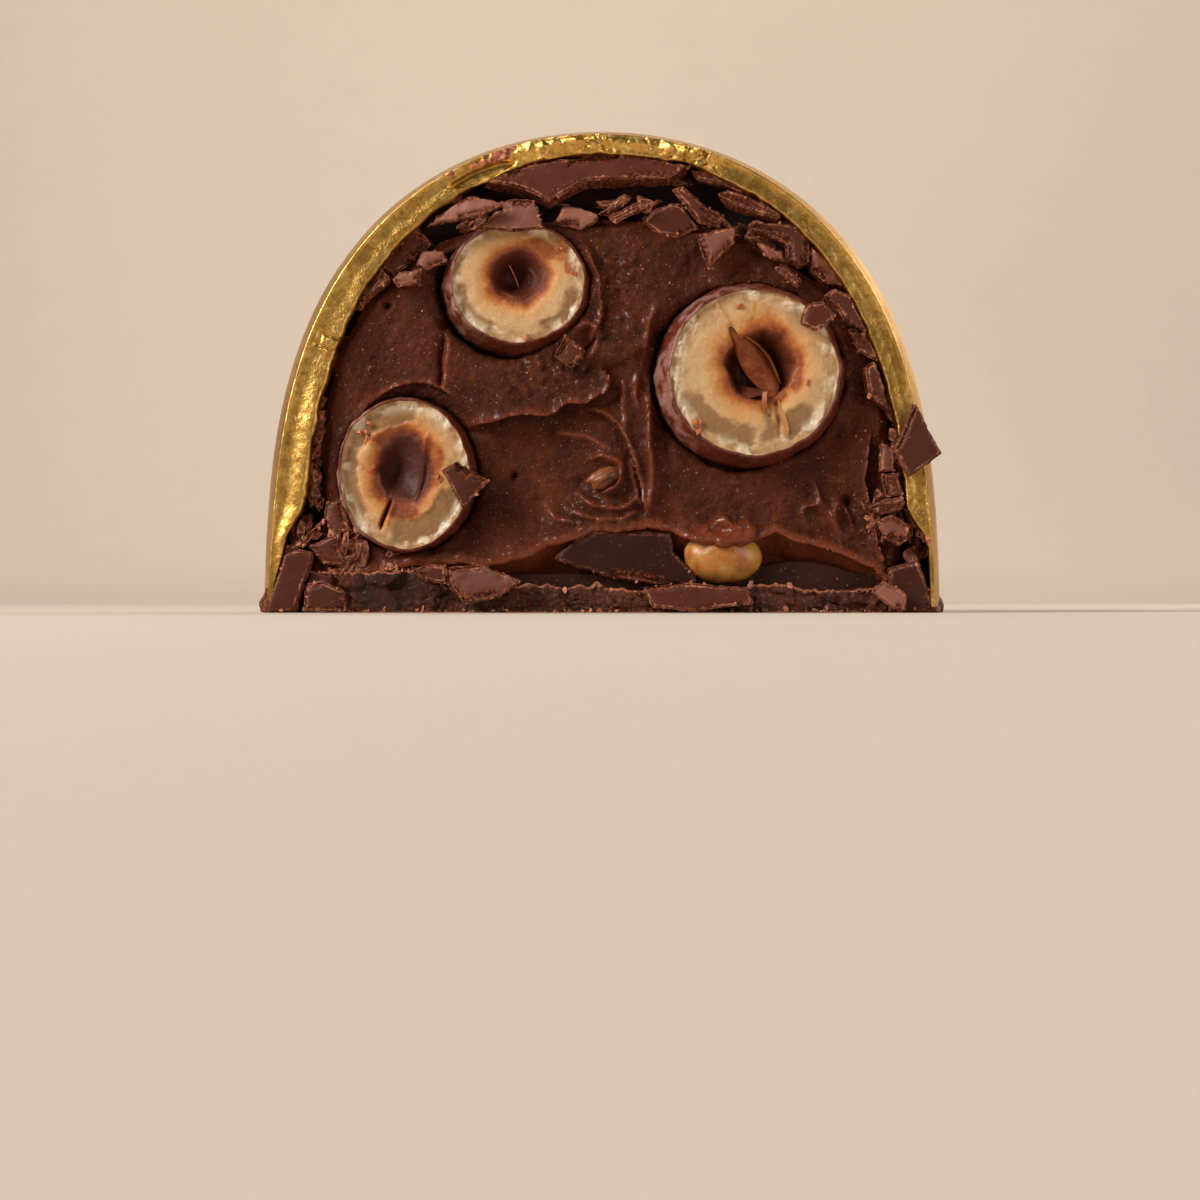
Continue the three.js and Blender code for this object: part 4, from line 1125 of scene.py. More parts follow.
def heart_relief(name, u, v, share):
    """How deep the face lies at each point, with the masks of its colours."""
    heart = HEARTS[name]
    flat = np.stack([u, 0 * u, v], axis=1)
    du, dv = u - heart["middle"][0], v - heart["middle"][1]
    size = np.hypot(du / heart["size"][0], dv / heart["size"][1])
    turn = np.stack([du, 0 * du, dv], axis=1) / np.maximum(np.hypot(du, dv), 1e-6)[:, None]
    lobes = heart["lobes"] * noise(turn, 0.55, heart["seed"] + 1) + 0.05 * noise(flat, 0.5, 3)
    size = size * (1 - lobes)
    # on the left the hollow rounds over, on the right its floor climbs straight to a sharp edge
    across, up = du / heart["size"][0] * (1 - lobes), dv / heart["size"][1] * (1 - lobes)
    way = from_apex(across, up, heart["apex"])
    crisp = heart["crisp"] * smooth(-0.3, 0.5, across)
    cone = np.clip(1.03 - np.hypot(way, 0.25), 0, 1) ** 0.8
    bowl = (1 - crisp) * (1 - smooth(heart["soft"], 1.08, way)) + crisp * cone
    depth = heart["deep"] * bowl + 0.22 * (1 - smooth(0.95, 1.7, size))
    depth += 0.025 * layered(flat, 0.5, heart["seed"]) + 0.05 * smooth(0.4, 1.0, bowl) * noise(flat, 0.35, 9)
    spread = size + 0.14 * noise(flat, 0.8, 14) + 0.05 * noise(flat, 0.2, 15)
    toast = np.interp(spread, TOAST_REACH, TOAST_HEAT)
    for x, z, wide, high, heat in SCORCHED[name]:
        patchy = region(u + 0.25 * noise(flat, 0.8, 24), v + 0.2 * noise(flat, 0.6, 25), (x, z), (wide, high))
        toast = np.maximum(toast, heat * patchy)
    spoke = noise(np.stack([16 * turn[:, 0], 0.8 * size, 16 * turn[:, 2]], axis=1), 1.0, 16)
    toast = np.clip(toast + 0.03 * spoke * smooth(0.8, 1.2, size), 0, 1)
    rimmed = smooth(0.66, 0.97, share + 0.07 * noise(flat, 0.6, heart["seed"] + 6))
    toast = np.clip(toast + heart["warm"] * (1 - 0.7 * rimmed), 0, 1)
    crack_mask = np.zeros(len(u))
    for line, deep, width, heat in heart["cracks"]:
        wob = 0.05 * noise(flat, 0.4, 17)
        distance, offset, side, along = near_line(u + wob, v + wob, curved(line))
        ends = smooth(0.0, 0.15, along) * smooth(0.0, 0.3, 1 - along)
        narrow = width * (1 - 0.5 * along)
        depth += deep * hill(distance, narrow) * ends
        open_wide = np.clip(deep / 0.5, 0, 1)
        crack_mask = np.maximum(crack_mask, open_wide * hill(distance, narrow * 1.1) * ends)
        toast = np.maximum(toast, heat * hill(distance, 0.22) * ends)
    chalk = smooth(0.80, 0.96, share) * smooth(-0.1, 0.3, noise(flat, 0.55, heart["seed"] + 4))
    depth -= chalk * (0.06 + 0.12 * facets(flat, 0.36, 19))
    depth += 0.05 * rimmed * layered(flat, 0.34, heart["seed"] + 8) + 0.05 * rimmed
    clear = np.zeros(len(u))
    turned = np.degrees(np.arctan2(v, u)) % 360 + 9 * noise(flat, 0.8, 20)
    inward = share + 0.05 * noise(flat, 0.6, 26) + 0.02 * noise(flat, 0.2, 27)
    for start, stop, low, high in CLEAR_ARCS[name]:
        arc = smooth(start - 6, start + 3, turned) * (1 - smooth(stop - 3, stop + 6, turned))
        arc = arc * smooth(low - 0.04, low + 0.04, inward) * (1 - smooth(high - 0.06, high + 0.02, inward))
        clear = np.maximum(clear, arc)
    depth += 0.10 * clear
    if name == "hazelnut_left":
        outline = np.hypot((u - PETAL[0]) / PETAL[2], (v - PETAL[1]) / PETAL[3]) + 0.22 * noise(flat, 0.5, 28)
        petal = 1 - smooth(0.78, 1.0, outline)
        depth -= 0.20 * petal * (1 - smooth(-1.6, -0.9, u))
        toast = toast * (1 - 0.25 * petal * (1 - smooth(-1.5, -0.8, u)))
        clear = clear * (1 - petal)
    masks = {"toast": toast, "chalk": chalk, "clear": clear, "crack": crack_mask, "rimmed": rimmed}
    return depth, masks


def nut_finish():
    """Toasted hazelnut: colours run from the cream rim to the roasted heart."""
    constants = {
        "Subsurface Weight": 0.25,
        "Subsurface Radius": (1.0, 0.6, 0.35),
        "Subsurface Scale": 0.6 * MM,
        "Coat Roughness": 0.25,
        "Specular IOR Level": 0.28,
    }
    finish = Finish("toasted_hazelnut", constants)
    toast, chalk, clear, crack, skin, rimmed, bloom = (
        finish.mask(m) for m in ("toast", "chalk", "clear", "crack", "skin", "rimmed", "bloom")
    )
    blotch = finish.grain(0.7, detail=4)
    heat = toast + (blotch - 0.5) * 0.16
    flesh = finish.ramp(
        heat,
        [
            (0.0, colour(210, 172, 126)),
            (0.25, colour(212, 156, 96)),
            (0.45, colour(192, 116, 50)),
            (0.60, colour(156, 78, 30)),
            (0.76, colour(112, 50, 24)),
            (1.0, colour(78, 36, 24)),
        ],
    )
    grainy = finish.grain(0.16, detail=2)
    flesh = finish.tint(flesh, colour(240, 214, 176), finish.between(grainy, 0.55, 0.75) * 0.35 * (1 - toast))
    milky = finish.between(finish.grain(0.5, detail=5, rough=0.65), 0.40, 0.62)
    flesh = finish.tint(flesh, colour(160, 120, 72), rimmed * (0.25 + milky * 0.5))
    flesh = finish.tint(flesh, colour(140, 102, 58), clear * 0.85)
    flesh = finish.tint(flesh, colour(238, 220, 190), chalk * 0.75)
    # painted shade: the open cracks in the flesh are painted dark
    flesh = finish.tint(flesh, colour(64, 28, 16), finish.between(crack, 0.35, 0.95) * 0.9)
    husk = finish.tint(colour(78, 28, 14), colour(124, 52, 26), finish.grain(0.9, detail=4))
    streak = finish.grain(0.25, detail=3, place=finish.stretched((1, 0.25, 1)))
    husk = finish.tint(husk, colour(54, 20, 12), finish.between(streak, 0.5, 0.7) * 0.6)
    # faint dust everywhere, and painted light with sheen on the skin's side that faces the key light
    dust_and_lit_patches = finish.between(finish.grain(0.8, detail=5), 0.42, 0.60)
    husk = finish.tint(husk, colour(164, 118, 106), dust_and_lit_patches * (bloom * 0.75 + 0.06))
    finish.feed("Base Color", finish.tint(flesh, husk, skin))
    finish.feed("Roughness", 0.46 - skin * 0.04 + chalk * 0.2 - clear * 0.12)
    finish.feed("Coat Weight", skin * 0.28 + clear * 0.4 + rimmed * 0.25 + 0.05)
    soft = finish.bump(finish.grain(0.28, detail=6, rough=0.7), 0.07)
    grained = finish.bump(finish.grain(0.10, detail=2), 0.014, soft)
    finish.feed("Normal", finish.bump(streak * skin, 0.10, grained))
    return finish.material


NUT = nut_finish()
NUT_ROWS = FACE_ROWS + 3 + SIDE_ROWS - 1
for nut_name in HEARTS:
    points, masks = nut_surface(nut_name)
    faces = grid_faces(NUT_ROWS, NUT_COLUMNS, ring=True)
    piece = new_piece("half_" + nut_name, points, faces, masks, hole_fill=True)
    dress(piece, NUT, "hazelnut", nut_name)

# %% [markdown]
# In the heart of the large nut a flake of toasted skin stands folded like a leaf.
# It is a thin sheet, so it is made as one: it is stretched over two or three
# lines, its edges and the fold between them, and given a small thickness. A ledge
# lies below it, a flap and a pale strip hang under its tip, and a sliver of the
# same skin lies in the top nut's heart.

# %% Folded skin in the hearts
LEAF_STEPS = 60
LEAF_THICKNESS = 0.07


def folded_leaf(name, host, lines, heat, husk):
    """A thin sheet over lines of (u, depth, v) points on a nut's face, from one edge to the other."""
    nut = NUTS[host]
    place = np.array([nut["middle"][0], nut["face"], nut["middle"][2]])
    laid = []
    for line in lines:
        curve = curved(line) + place
        steps = np.linspace(0, len(curve) - 1, LEAF_STEPS)
        laid.append(np.stack([np.interp(steps, np.arange(len(curve)), curve[:, k]) for k in range(3)], axis=1))
    sheet = [laid[0]]
    for before, after in zip(laid, laid[1:]):
        sheet += [before + (after - before) * t for t in np.linspace(0, 1, 9)[1:]]
    sheet = np.array(sheet)
    sheet[:, :, 1] += 0.05 * noise(sheet.reshape(-1, 3), 0.35, 41).reshape(sheet.shape[:2])
    points = np.concatenate([sheet, sheet + [0, LEAF_THICKNESS, 0]]).reshape(-1, 3)
    rows, columns = len(sheet), LEAF_STEPS
    front = grid_faces(rows, columns)
    back = front[:, ::-1] + rows * columns
    rim = np.concatenate([
        np.arange(columns), columns * np.arange(2, rows + 1) - 1,
        rows * columns - 2 - np.arange(columns - 1), columns * np.arange(rows - 2, 0, -1),
    ])
    after = np.roll(rim, -1)
    sides = np.stack([rim, after, after + rows * columns, rim + rows * columns], axis=1)
    toast = np.full(len(points), heat) + 0.10 * noise(points, 0.5, 42)
    masks = {"toast": toast, "skin": np.full(len(points), husk)}
    return new_piece(name, points, np.concatenate([front, back, sides]), masks, crisp=28)


LEAVES = {
    "folded_skin_right": ("hazelnut_right", 0.66, 0.45, [
        [(-1.2, 0.35, 2.5), (-0.9, 0.55, 1.6), (-0.5, 0.75, 0.6), (0.0, 0.85, -0.2), (0.64, 0.8, -0.85),
         (1.2, 0.55, -1.45)],
        [(-1.18, 0.25, 2.5), (-0.5, 0.15, 1.55), (0.2, 0.05, 0.72), (0.9, 0.05, 0.1), (1.2, 0.15, -0.62),
         (1.25, 0.45, -1.45)],
        [(-1.15, 0.35, 2.5), (-0.2, 0.45, 1.95), (0.45, 0.5, 1.3), (1.05, 0.5, 0.5), (1.5, 0.4, -0.5),
         (1.3, 0.5, -1.45)],
    ]),
    "folded_skin_right_edge": ("hazelnut_right", 0.60, 0.5, [
        [(-0.3, 0.25, 1.9), (0.5, 0.15, 1.28), (1.05, 0.12, 0.52), (1.52, 0.18, -0.5)],
        [(-0.2, 0.40, 2.0), (0.6, 0.45, 1.42), (1.2, 0.50, 0.60), (1.62, 0.40, -0.55)],
    ]),
    "folded_skin_right_ledge": ("hazelnut_right", 0.90, 0.2, [
        [(-1.3, 1.3, -0.45), (-0.4, 1.2, -0.55), (0.6, 0.9, -0.75)],
        [(-1.35, 0.55, -1.05), (-0.3, 0.40, -1.3), (0.75, 0.35, -1.05)],
    ]),
    "folded_skin_right_flap": ("hazelnut_right", 0.60, 0.2, [
        [(0.66, 0.18, -0.95), (0.62, 0.10, -1.35), (0.74, 0.06, -1.8), (0.90, 0.15, -2.2)],
        [(0.88, 0.10, -0.95), (0.86, 0.0, -1.35), (0.88, 0.04, -1.8), (0.92, 0.15, -2.2)],
    ]),
    "folded_skin_right_strip": ("hazelnut_right", 0.36, 0.0, [
        [(1.42, 0.30, -1.35), (1.55, 0.14, -2.0), (1.70, 0.12, -2.7), (1.85, 0.16, -3.3)],
        [(1.50, 0.35, -1.35), (1.80, 0.12, -2.1), (1.98, 0.10, -2.8), (1.95, 0.16, -3.35)],
    ]),
    "skin_sliver_top": ("hazelnut_top", 0.64, 0.3, [
        [(-0.5, 0.7, 1.15), (-0.3, 0.55, 0.75), (-0.12, 0.50, 0.35), (0.02, 0.6, -0.02)],
        [(-0.42, 0.7, 1.15), (-0.2, 0.60, 0.75), (-0.04, 0.55, 0.35), (0.06, 0.65, -0.02)],
    ]),
}
for leaf_name, (host, heat, husk, lines) in LEAVES.items():
    dress(folded_leaf(leaf_name, host, lines, heat, husk), NUT, "hazelnut")

# %% [markdown]
# One nut is whole and blanched: smooth, ochre, half under the paste. A kernel is
# never a clean ball, so broad and fine bumps are pushed into a round grid. The
# chip in the paste is made the same way, lumpier and wet.

# %% Whole nut and nut chip
def round_grid(rows, columns):
    """Directions over a ball, with the poles left and right."""
    lean = np.linspace(0.02, np.pi - 0.02, rows)[:, None]
    turn = 2 * np.pi * np.arange(columns)[None, :] / columns
    across = np.cos(lean) + 0 * turn
    return np.stack([across, np.sin(lean) * np.cos(turn), np.sin(lean) * np.sin(turn)], -1).reshape(-1, 3)


def blanched(name, node, rows, columns, lump, seed, shape=(1, 1, 1), lean=0.0, drop=0.0):
    low, high = node_box(node)
    way = round_grid(rows, columns)
    bulge = 1 + lump * noise(way, 0.9, seed + 1) + 0.4 * lump * noise(way, 0.35, seed + 2)
    turned = mathutils.Euler((0, np.radians(-lean), 0)).to_matrix()
    points = (way * (high - low) / 2 * bulge[:, None] * shape) @ np.array(turned).T + (low + high) / 2
    points[:, 2] = np.maximum(points[:, 2] - drop, 0.05)
    return new_piece(name, points, grid_faces(rows, columns, ring=True), hole_fill=True)


def blanched_finish(name, light, dark, wet):
    constants = {
        "Subsurface Weight": 0.2,
        "Subsurface Radius": (1.0, 0.6, 0.3),
        "Subsurface Scale": 0.5 * MM,
        "Coat Roughness": 0.2,
        "Coat Weight": wet,
    }
    finish = Finish(name, constants)
    mottle = finish.between(finish.grain(1.7, detail=2, warp=0.3), 0.36, 0.62)
    tone = finish.tint(dark, light, mottle)
    specks = finish.between(finish.grain(0.2, detail=2), 0.62, 0.74)
    tone = finish.tint(tone, colour(236, 200, 140), specks * 0.35)
    finish.feed("Base Color", tone)
    finish.feed("Roughness", 0.36 + mottle * 0.14)
    finish.feed("Normal", finish.bump(finish.grain(0.35, detail=3), 0.03))
    return finish.material


whole = blanched("whole_nut", "hazelnut_whole", 70, 110, 0.07, 61, shape=(1.0, 1.0, 1.14), drop=0.05)
dress(whole, blanched_finish("blanched", colour(214, 158, 78), colour(170, 98, 34), 0.15),
      "blanched_nut", "hazelnut_whole")
chip = blanched("bedded_chip", "nut_chip", 40, 60, 0.22, 67, shape=(1.2, 1, 0.8), lean=28)
dress(chip, blanched_finish("wet_chip", colour(140, 78, 34), colour(84, 40, 20), 0.2),
      "blanched_nut", "nut_chip")

# %% [markdown]
# The lining snapped into shards. Snapped chocolate has three skins: a smooth face
# where it was cut or moulded, a grainy break, and thin pale edges where it
# crumbled. The shards' solids have the right outlines but clean edges. Each one
# is copied, remeshed to even little squares, and then worn: edges are bitten
# into, the front is chamfered by a different amount along each edge, and the
# breaks are roughened. The mask of each wear drives the colour.

# %% Shards
VOXEL = 0.07
FINE_NODES = {
    "gold_shell", "chocolate_lining", "chocolate_base", "filling", "nut_chip", "hazelnut_whole", *NUTS,
}
SHARD_NODES = sorted(set(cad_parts) - FINE_NODES)
# Extra lean back and swing to the right, in degrees, so that each face takes the light its own way.
SHARD_TILTS = {
    "leaf": (16, -10), "plate": (8, -6), "crown_slab": (4, 0), "triangle": (4, -12),
    "kite": (0, 0), "long_piece_right": (6, 4), "chip_on_nut": (-4, 8), "ridge": (14, 0),
    "slab_on_base_left": (10, -8), "slab_on_base_right": (4, -4), "rim_piece_left": (-4, 6),
}

# Shards whose faces are paler, because they are scraped or lie in dust.
PALE_SHARDS = {"leaf": 0.7, "plate": 0.45, "cluster": 0.95, "triangle": 0.4, "slab_on_base_left": 0.15,
               "crumb_right_low": 0.4, "crumb_corner_right": 0.8, "chip_right_high": 0.4, "kite_chip": 0.4,
               "rim_piece_right": 0.3, "crumb_left_high": 0.6, "crumb_left_low": 0.6}
# Shards painted darker, with fewer pale edges and less gloss; where they lie in the shade of the paste, as the
# plate under the lip does, this is painted shade.
DARK_SHARDS = {"plate_under_lip": 0.95, "corner_right": 0.7, "kite": 0.3, "corner_left": 0.25,
               "chip_on_nut": 0.3, "block_left_low": 0.3, "long_piece_right": 0.2}
CLEARANCE = 0.14  # what the solids leave free round each shard; the real ones touch


def welded(node):
    """A node's mesh in millimetres with its doubled points joined."""
    work = bmesh.new()
    work.from_mesh(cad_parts[node].data)
    bmesh.ops.scale(work, vec=(1 / MM,) * 3, verts=work.verts)
    bmesh.ops.remove_doubles(work, verts=work.verts, dist=0.002)
    return work


def even_mesh(node, voxel):
    """A node's form as small even faces: points, faces and point normals."""
    work = welded(node)
    rough = bpy.data.meshes.new("rough")
    work.to_mesh(rough)
    work.free()
    holder = bpy.data.objects.new("rough", rough)
    bpy.context.scene.collection.objects.link(holder)
    remesh = holder.modifiers.new("even", "REMESH")
    remesh.mode = "VOXEL"
    remesh.voxel_size = voxel
    seen = holder.evaluated_get(bpy.context.evaluated_depsgraph_get())
    made = bpy.data.meshes.new_from_object(seen)
    points = np.zeros(len(made.vertices) * 3)
    made.vertices.foreach_get("co", points)
    normals = np.zeros(len(made.vertices) * 3)
    made.vertex_normals.foreach_get("vector", normals)
    faces = [tuple(face.vertices) for face in made.polygons]
    bpy.data.objects.remove(holder)
    bpy.data.meshes.remove(rough)
    bpy.data.meshes.remove(made)
    return points.reshape(-1, 3), faces, normals.reshape(-1, 3)


def sharp_edges(node, angle=0.4):
    """The two ends of every edge where the node's faces meet at more than that angle."""
    work = welded(node)
    ends = [
        [tuple(v.co) for v in edge.verts]
        for edge in work.edges
        if len(edge.link_faces) == 2 and edge.calc_face_angle(0) > angle
    ]
    work.free()
    return np.array(ends)


def edge_distance(points, ends):
    """Distance from each point to the nearest edge, and which one that is."""
    start, run = ends[:, 0], ends[:, 1] - ends[:, 0]
    best = np.full(len(points), np.inf)
    which = np.zeros(len(points), dtype=np.int64)
    for number, (a, d) in enumerate(zip(start, run)):
        t = np.clip((points - a) @ d / max(d @ d, 1e-9), 0, 1)
        distance = np.linalg.norm(points - a - t[:, None] * d, axis=1)
        closer = distance < best
        best = np.where(closer, distance, best)
        which = np.where(closer, number, which)
    return best, which


def worn_shard(node, seed):
    points, faces, normals = even_mesh(node, VOXEL)
    ends = sharp_edges(node)
    distance, which = edge_distance(points, ends)
    front = smooth(0.45, 0.85, -normals[:, 1])
    keys = np.stack([which, 0 * which + seed, 0 * which], axis=1)
    chamfer = 0.03 + 0.38 * hashed(keys, 3) ** 3
    cut_back = np.maximum(chamfer - distance, 0) * front
    edge = np.exp(-distance / 0.13)
    crumb = np.clip(cut_back / 0.12, 0, 1)
    side = 1 - front
    grains = pebbles(points, 0.26, seed)
    bite = edge * smooth(-0.1, 0.6, noise(points, 0.4, seed)) * 0.07
    rough = (0.55 - grains) * 0.08 * np.maximum(crumb, side * 0.7)
    push = rough - bite + 0.03 * layered(points, 0.5, seed, 2) * side
    points = points + normals * push[:, None]
    if node == "corner_left":  # it widens towards the floor, in front of the gold's thin foot
        right = points[:, 0].max()
        widen = 1 + 0.55 * (1 - smooth(0.2, 3.2, points[:, 2]))
        points[:, 0] = right + (points[:, 0] - right) * widen
        points[:, 1] -= 0.12 * front
    points[:, 1] += 0.8 * cut_back
    points += 0.05 * vector_noise(points, 1.6, 5) + 0.018 * vector_noise(points, 0.42, 6)
    points[:, 1] += 0.05 * noise(points, 2.2, seed + 9) * front
    middle = (points.min(axis=0) + points.max(axis=0)) / 2
    grown = 1 + 2 * CLEARANCE / np.ptp(points, axis=0) * np.array([1, 0, 1])
    lean, swing = SHARD_TILTS.get(node, (0, 0))
    turned = mathutils.Euler((np.radians(-lean), 0, np.radians(swing))).to_matrix()
    points = ((points - middle) * grown) @ np.array(turned).T + middle
    points[:, 2] = np.maximum(points[:, 2], 0.02)
    masks = {"edge": np.exp(-distance / 0.075), "crumb": np.maximum(crumb, side)}
    return points, faces, masks


def snapped_finish():
    """Dark chocolate that has snapped: smooth, dusty faces and pale crumbled edges."""
    finish = Finish("snapped_chocolate", {"Coat Roughness": 0.35, "Specular IOR Level": 0.24})
    edge, crumb, pale, dark = (finish.mask(m) for m in ("edge", "crumb", "pale", "dark"))
    cloud = finish.grain(1.6, detail=3)
    face = finish.tint(colour(78, 33, 19), colour(96, 46, 29), cloud)
    face = finish.tint(face, colour(166, 108, 92), pale * 0.85)
    # painted darker; on the shards under the paste this is painted shade
    face = finish.tint(face, colour(48, 17, 7), dark)
    grit = finish.grain(0.15, detail=4)
    broken = finish.tint(colour(70, 30, 16), colour(158, 84, 54), finish.between(grit, 0.44, 0.68))
    tone = finish.tint(face, broken, crumb * 0.9)
    worn = finish.between(finish.grain(0.9, detail=3), 0.40, 0.62)
    ragged = finish.between(edge + (finish.grain(0.20, detail=4) - 0.5) * 1.3, 0.52, 0.86)
    tone = finish.tint(tone, colour(204, 132, 98), ragged * (0.25 + worn * 0.65) * (1 - dark * 0.7))
    dust = finish.between(finish.grain(0.08, detail=1), 0.72, 0.79)
    tone = finish.tint(tone, colour(196, 146, 118), dust * 0.6)
    finish.feed("Base Color", tone)
    finish.feed("Roughness", 0.44 + crumb * 0.2 + cloud * 0.08)
    finish.feed("Coat Weight", (0.12 - crumb * 0.11) * (1 - dark))
    fine = finish.bump(finish.grain(0.12, detail=4, rough=0.6) * (0.2 + crumb), 0.05)
    scrape = finish.grain(0.5, detail=3, place=finish.stretched((0.5, 1, 2.2)))
    finish.feed("Normal", finish.bump(scrape, 0.03, fine))
    return finish.material


SNAPPED = snapped_finish()
shards = {}
for number, node in enumerate(SHARD_NODES):
    points, faces, masks = worn_shard(node, 100 + 13 * number)
    masks["pale"] = np.full(len(points), PALE_SHARDS.get(node, 0.0))
    masks["dark"] = np.full(len(points), DARK_SHARDS.get(node, 0.0))
    piece = new_piece("shard_" + node, points, np.array(faces, dtype=object), masks, crisp=38)
    dress(piece, SNAPPED, "snapped_chocolate", node)
    shards[node] = piece

# %% [markdown]
# Behind the shards the lining is still in one piece, dark and rough, and only
# shows at the bottom of the gaps. Its solid is remeshed more coarsely and
# roughened. It has to be dark by itself too, because little light gets in there.

# %% Lining
def lining():
    points, faces, normals = even_mesh("chocolate_lining", 0.42)
    lumps = 0.28 * layered(points, 1.2, 201) * smooth(2.2, 0.6, points[:, 1] - points[:, 1].min())
    points = points + normals * lumps[:, None]
    return new_piece("dark_lining", points, np.array(faces, dtype=object))


def dark_chocolate(name):
    finish = Finish(name, {"Specular IOR Level": 0.2})
    cloud = finish.grain(1.1, detail=4)
    # painted shade: the lining is painted near black, far darker than the other chocolate, as only shade shows
    # down in the gaps
    tone = finish.tint(colour(26, 12, 8), colour(52, 25, 17), finish.between(cloud, 0.35, 0.7))
    finish.feed("Base Color", tone)
    finish.feed("Roughness", 0.5 + cloud * 0.2)
    finish.feed("Normal", finish.bump(finish.grain(0.3, detail=5, rough=0.65), 0.12))
    return finish.material


dress(lining(), dark_chocolate("lining_chocolate"), "dark_chocolate", "chocolate_lining")

# %% [markdown]
# The base is the slab that closed the mould. At the cut it shows two layers: a
# crumbly lower band with a flaky pale top edge, and above it a smooth dark strip
# that lies further back. One grid covers it: every column is one upright section
# through the slab, from the bottom at the back, up the cut face, over the step
# and back again. The section's heights change along x, which draws the broken
# edge and the arch on the right.

# %% Base slab
BASE_COLUMNS = 520
FRONT_ROWS = 40
SLAB_HALF = 16.9
SLAB_TOP = 1.35
CORNERS = (-15.15, 14.85)  # beyond these x the corner shards stand in front
STEP_BACK = 1.1
STRIP_BACK = 2.0
STEP_LINE = [
    (-17.5, 2.15), (-9.3, 2.1), (-8.6, 1.75), (-7.9, 1.2), (-5.0, 1.25), (-3.6, 1.45), (0.5, 1.3),
    (2.3, 1.15), (7.4, 1.1), (7.6, 1.35), (9.5, 1.35), (10.4, 1.15), (12.0, 1.25), (15.0, 1.2), (17.5, 1.2),
]
STRIP_LINE = [
    (-17.5, 2.2), (-8.5, 2.2), (-7.0, 2.0), (5.0, 2.0), (7.0, 2.15), (9.0, 2.6), (11.0, 2.6),
    (12.6, 2.25), (13.4, 2.0), (17.5, 1.9),
]


def base_slab():
    x = np.linspace(-SLAB_HALF, SLAB_HALF, BASE_COLUMNS)
    back = np.maximum(np.sqrt(np.maximum(SLAB_HALF**2 - x**2, 0)), CUT_Y + STRIP_BACK + 0.3)
    along = np.stack([x, 0 * x, 0 * x], axis=1)
    jag = 0.14 * noise(along, 1.3, 301) + 0.10 * noise(along, 0.4, 302) + 0.05 * noise(along, 0.15, 303)
    step = np.interp(x, *np.array(STEP_LINE).T) + jag
    strip = np.maximum(np.interp(x, *np.array(STRIP_LINE).T) + 0.05 * noise(along, 0.8, 304), step + 0.02)
    corner = np.maximum(smooth(CORNERS[0] + 0.12, CORNERS[0], x), smooth(CORNERS[1] - 0.12, CORNERS[1], x))
    rows = []
    kinds = []

    def row(y, z, kind):
        rows.append(np.stack([x, np.broadcast_to(y, x.shape), np.broadcast_to(z, x.shape)], axis=1))
        kinds.append(kind)

    row(back, 0.02, 0)
    row(CUT_Y + 1.0, 0.02, 0)
    for share in np.linspace(0, 1, FRONT_ROWS):
        row(CUT_Y, step * share, 1)
    row(CUT_Y + 0.4 * STEP_BACK, step + 0.03 * noise(along, 0.3, 305), 2)
    for share in np.linspace(0, 1, 12):
        row(CUT_Y + STEP_BACK, step + (strip - step) * share, 3)
    row(CUT_Y + STEP_BACK + 0.3, strip + 0.04, 3)
    row(CUT_Y + STRIP_BACK, strip, 3)
    row(CUT_Y + STRIP_BACK + 0.1, SLAB_TOP, 3)
    row(back, SLAB_TOP, 3)
    row(back, 0.02, 0)
    flat = np.array(rows).reshape(-1, 3)
    kind = np.repeat(kinds, BASE_COLUMNS)
    step_at = np.tile(step, len(rows))
    front = kind == 1
    top_edge = front * np.exp(-np.abs(flat[:, 2] - step_at) / 0.2)
    foot_edge = front * np.exp(-flat[:, 2] / 0.14)
    smooth_left = region(flat[:, 0], flat[:, 2], (-10.9, 1.3), (1.9, 1.4))
    rough = front * (1 - 0.85 * smooth_left)
    grains = pebbles(flat, 0.34, 311)
    relief = rough * (0.05 * (0.6 - grains) + 0.05 * layered(flat, 0.9, 312) + 0.03 * noise(flat, 0.2, 313))
    snapped = flat * [1, 0, 1.4] + 0.25 * vector_noise(flat, 0.9, 315)
    relief += front * (0.34 * facets(snapped, 2.1, 318) + rough * 0.14 * facets(snapped, 0.7, 319))
    relief -= 0.25 * top_edge * (0.5 + 0.5 * noise(flat, 0.3, 314)) + 0.1 * foot_edge
    relief += (kind == 3) * 0.04 * layered(flat, 0.8, 316)
    flat[:, 1] -= relief * (flat[:, 1] < CUT_Y + STRIP_BACK)
    corners = np.tile(corner, len(rows)) * (flat[:, 1] < CUT_Y + 1.5) * (flat[:, 2] > 0.05)
    flat[:, 1] += 1.55 * corners
    flat[:, 2] += 0.05 * front * noise(flat, 0.25, 317) * (flat[:, 2] > 0.1)
    masks = {
        "edge": np.clip(top_edge + foot_edge, 0, 1),
        "crumb": rough + (kind == 2) * 1.0,
        "dark": (kind == 3) * 0.7 + 0.6 * smooth_left * front,
    }
    faces = grid_faces(len(rows), BASE_COLUMNS)
    return new_piece("base_slab", flat, faces, masks, hole_fill=True)


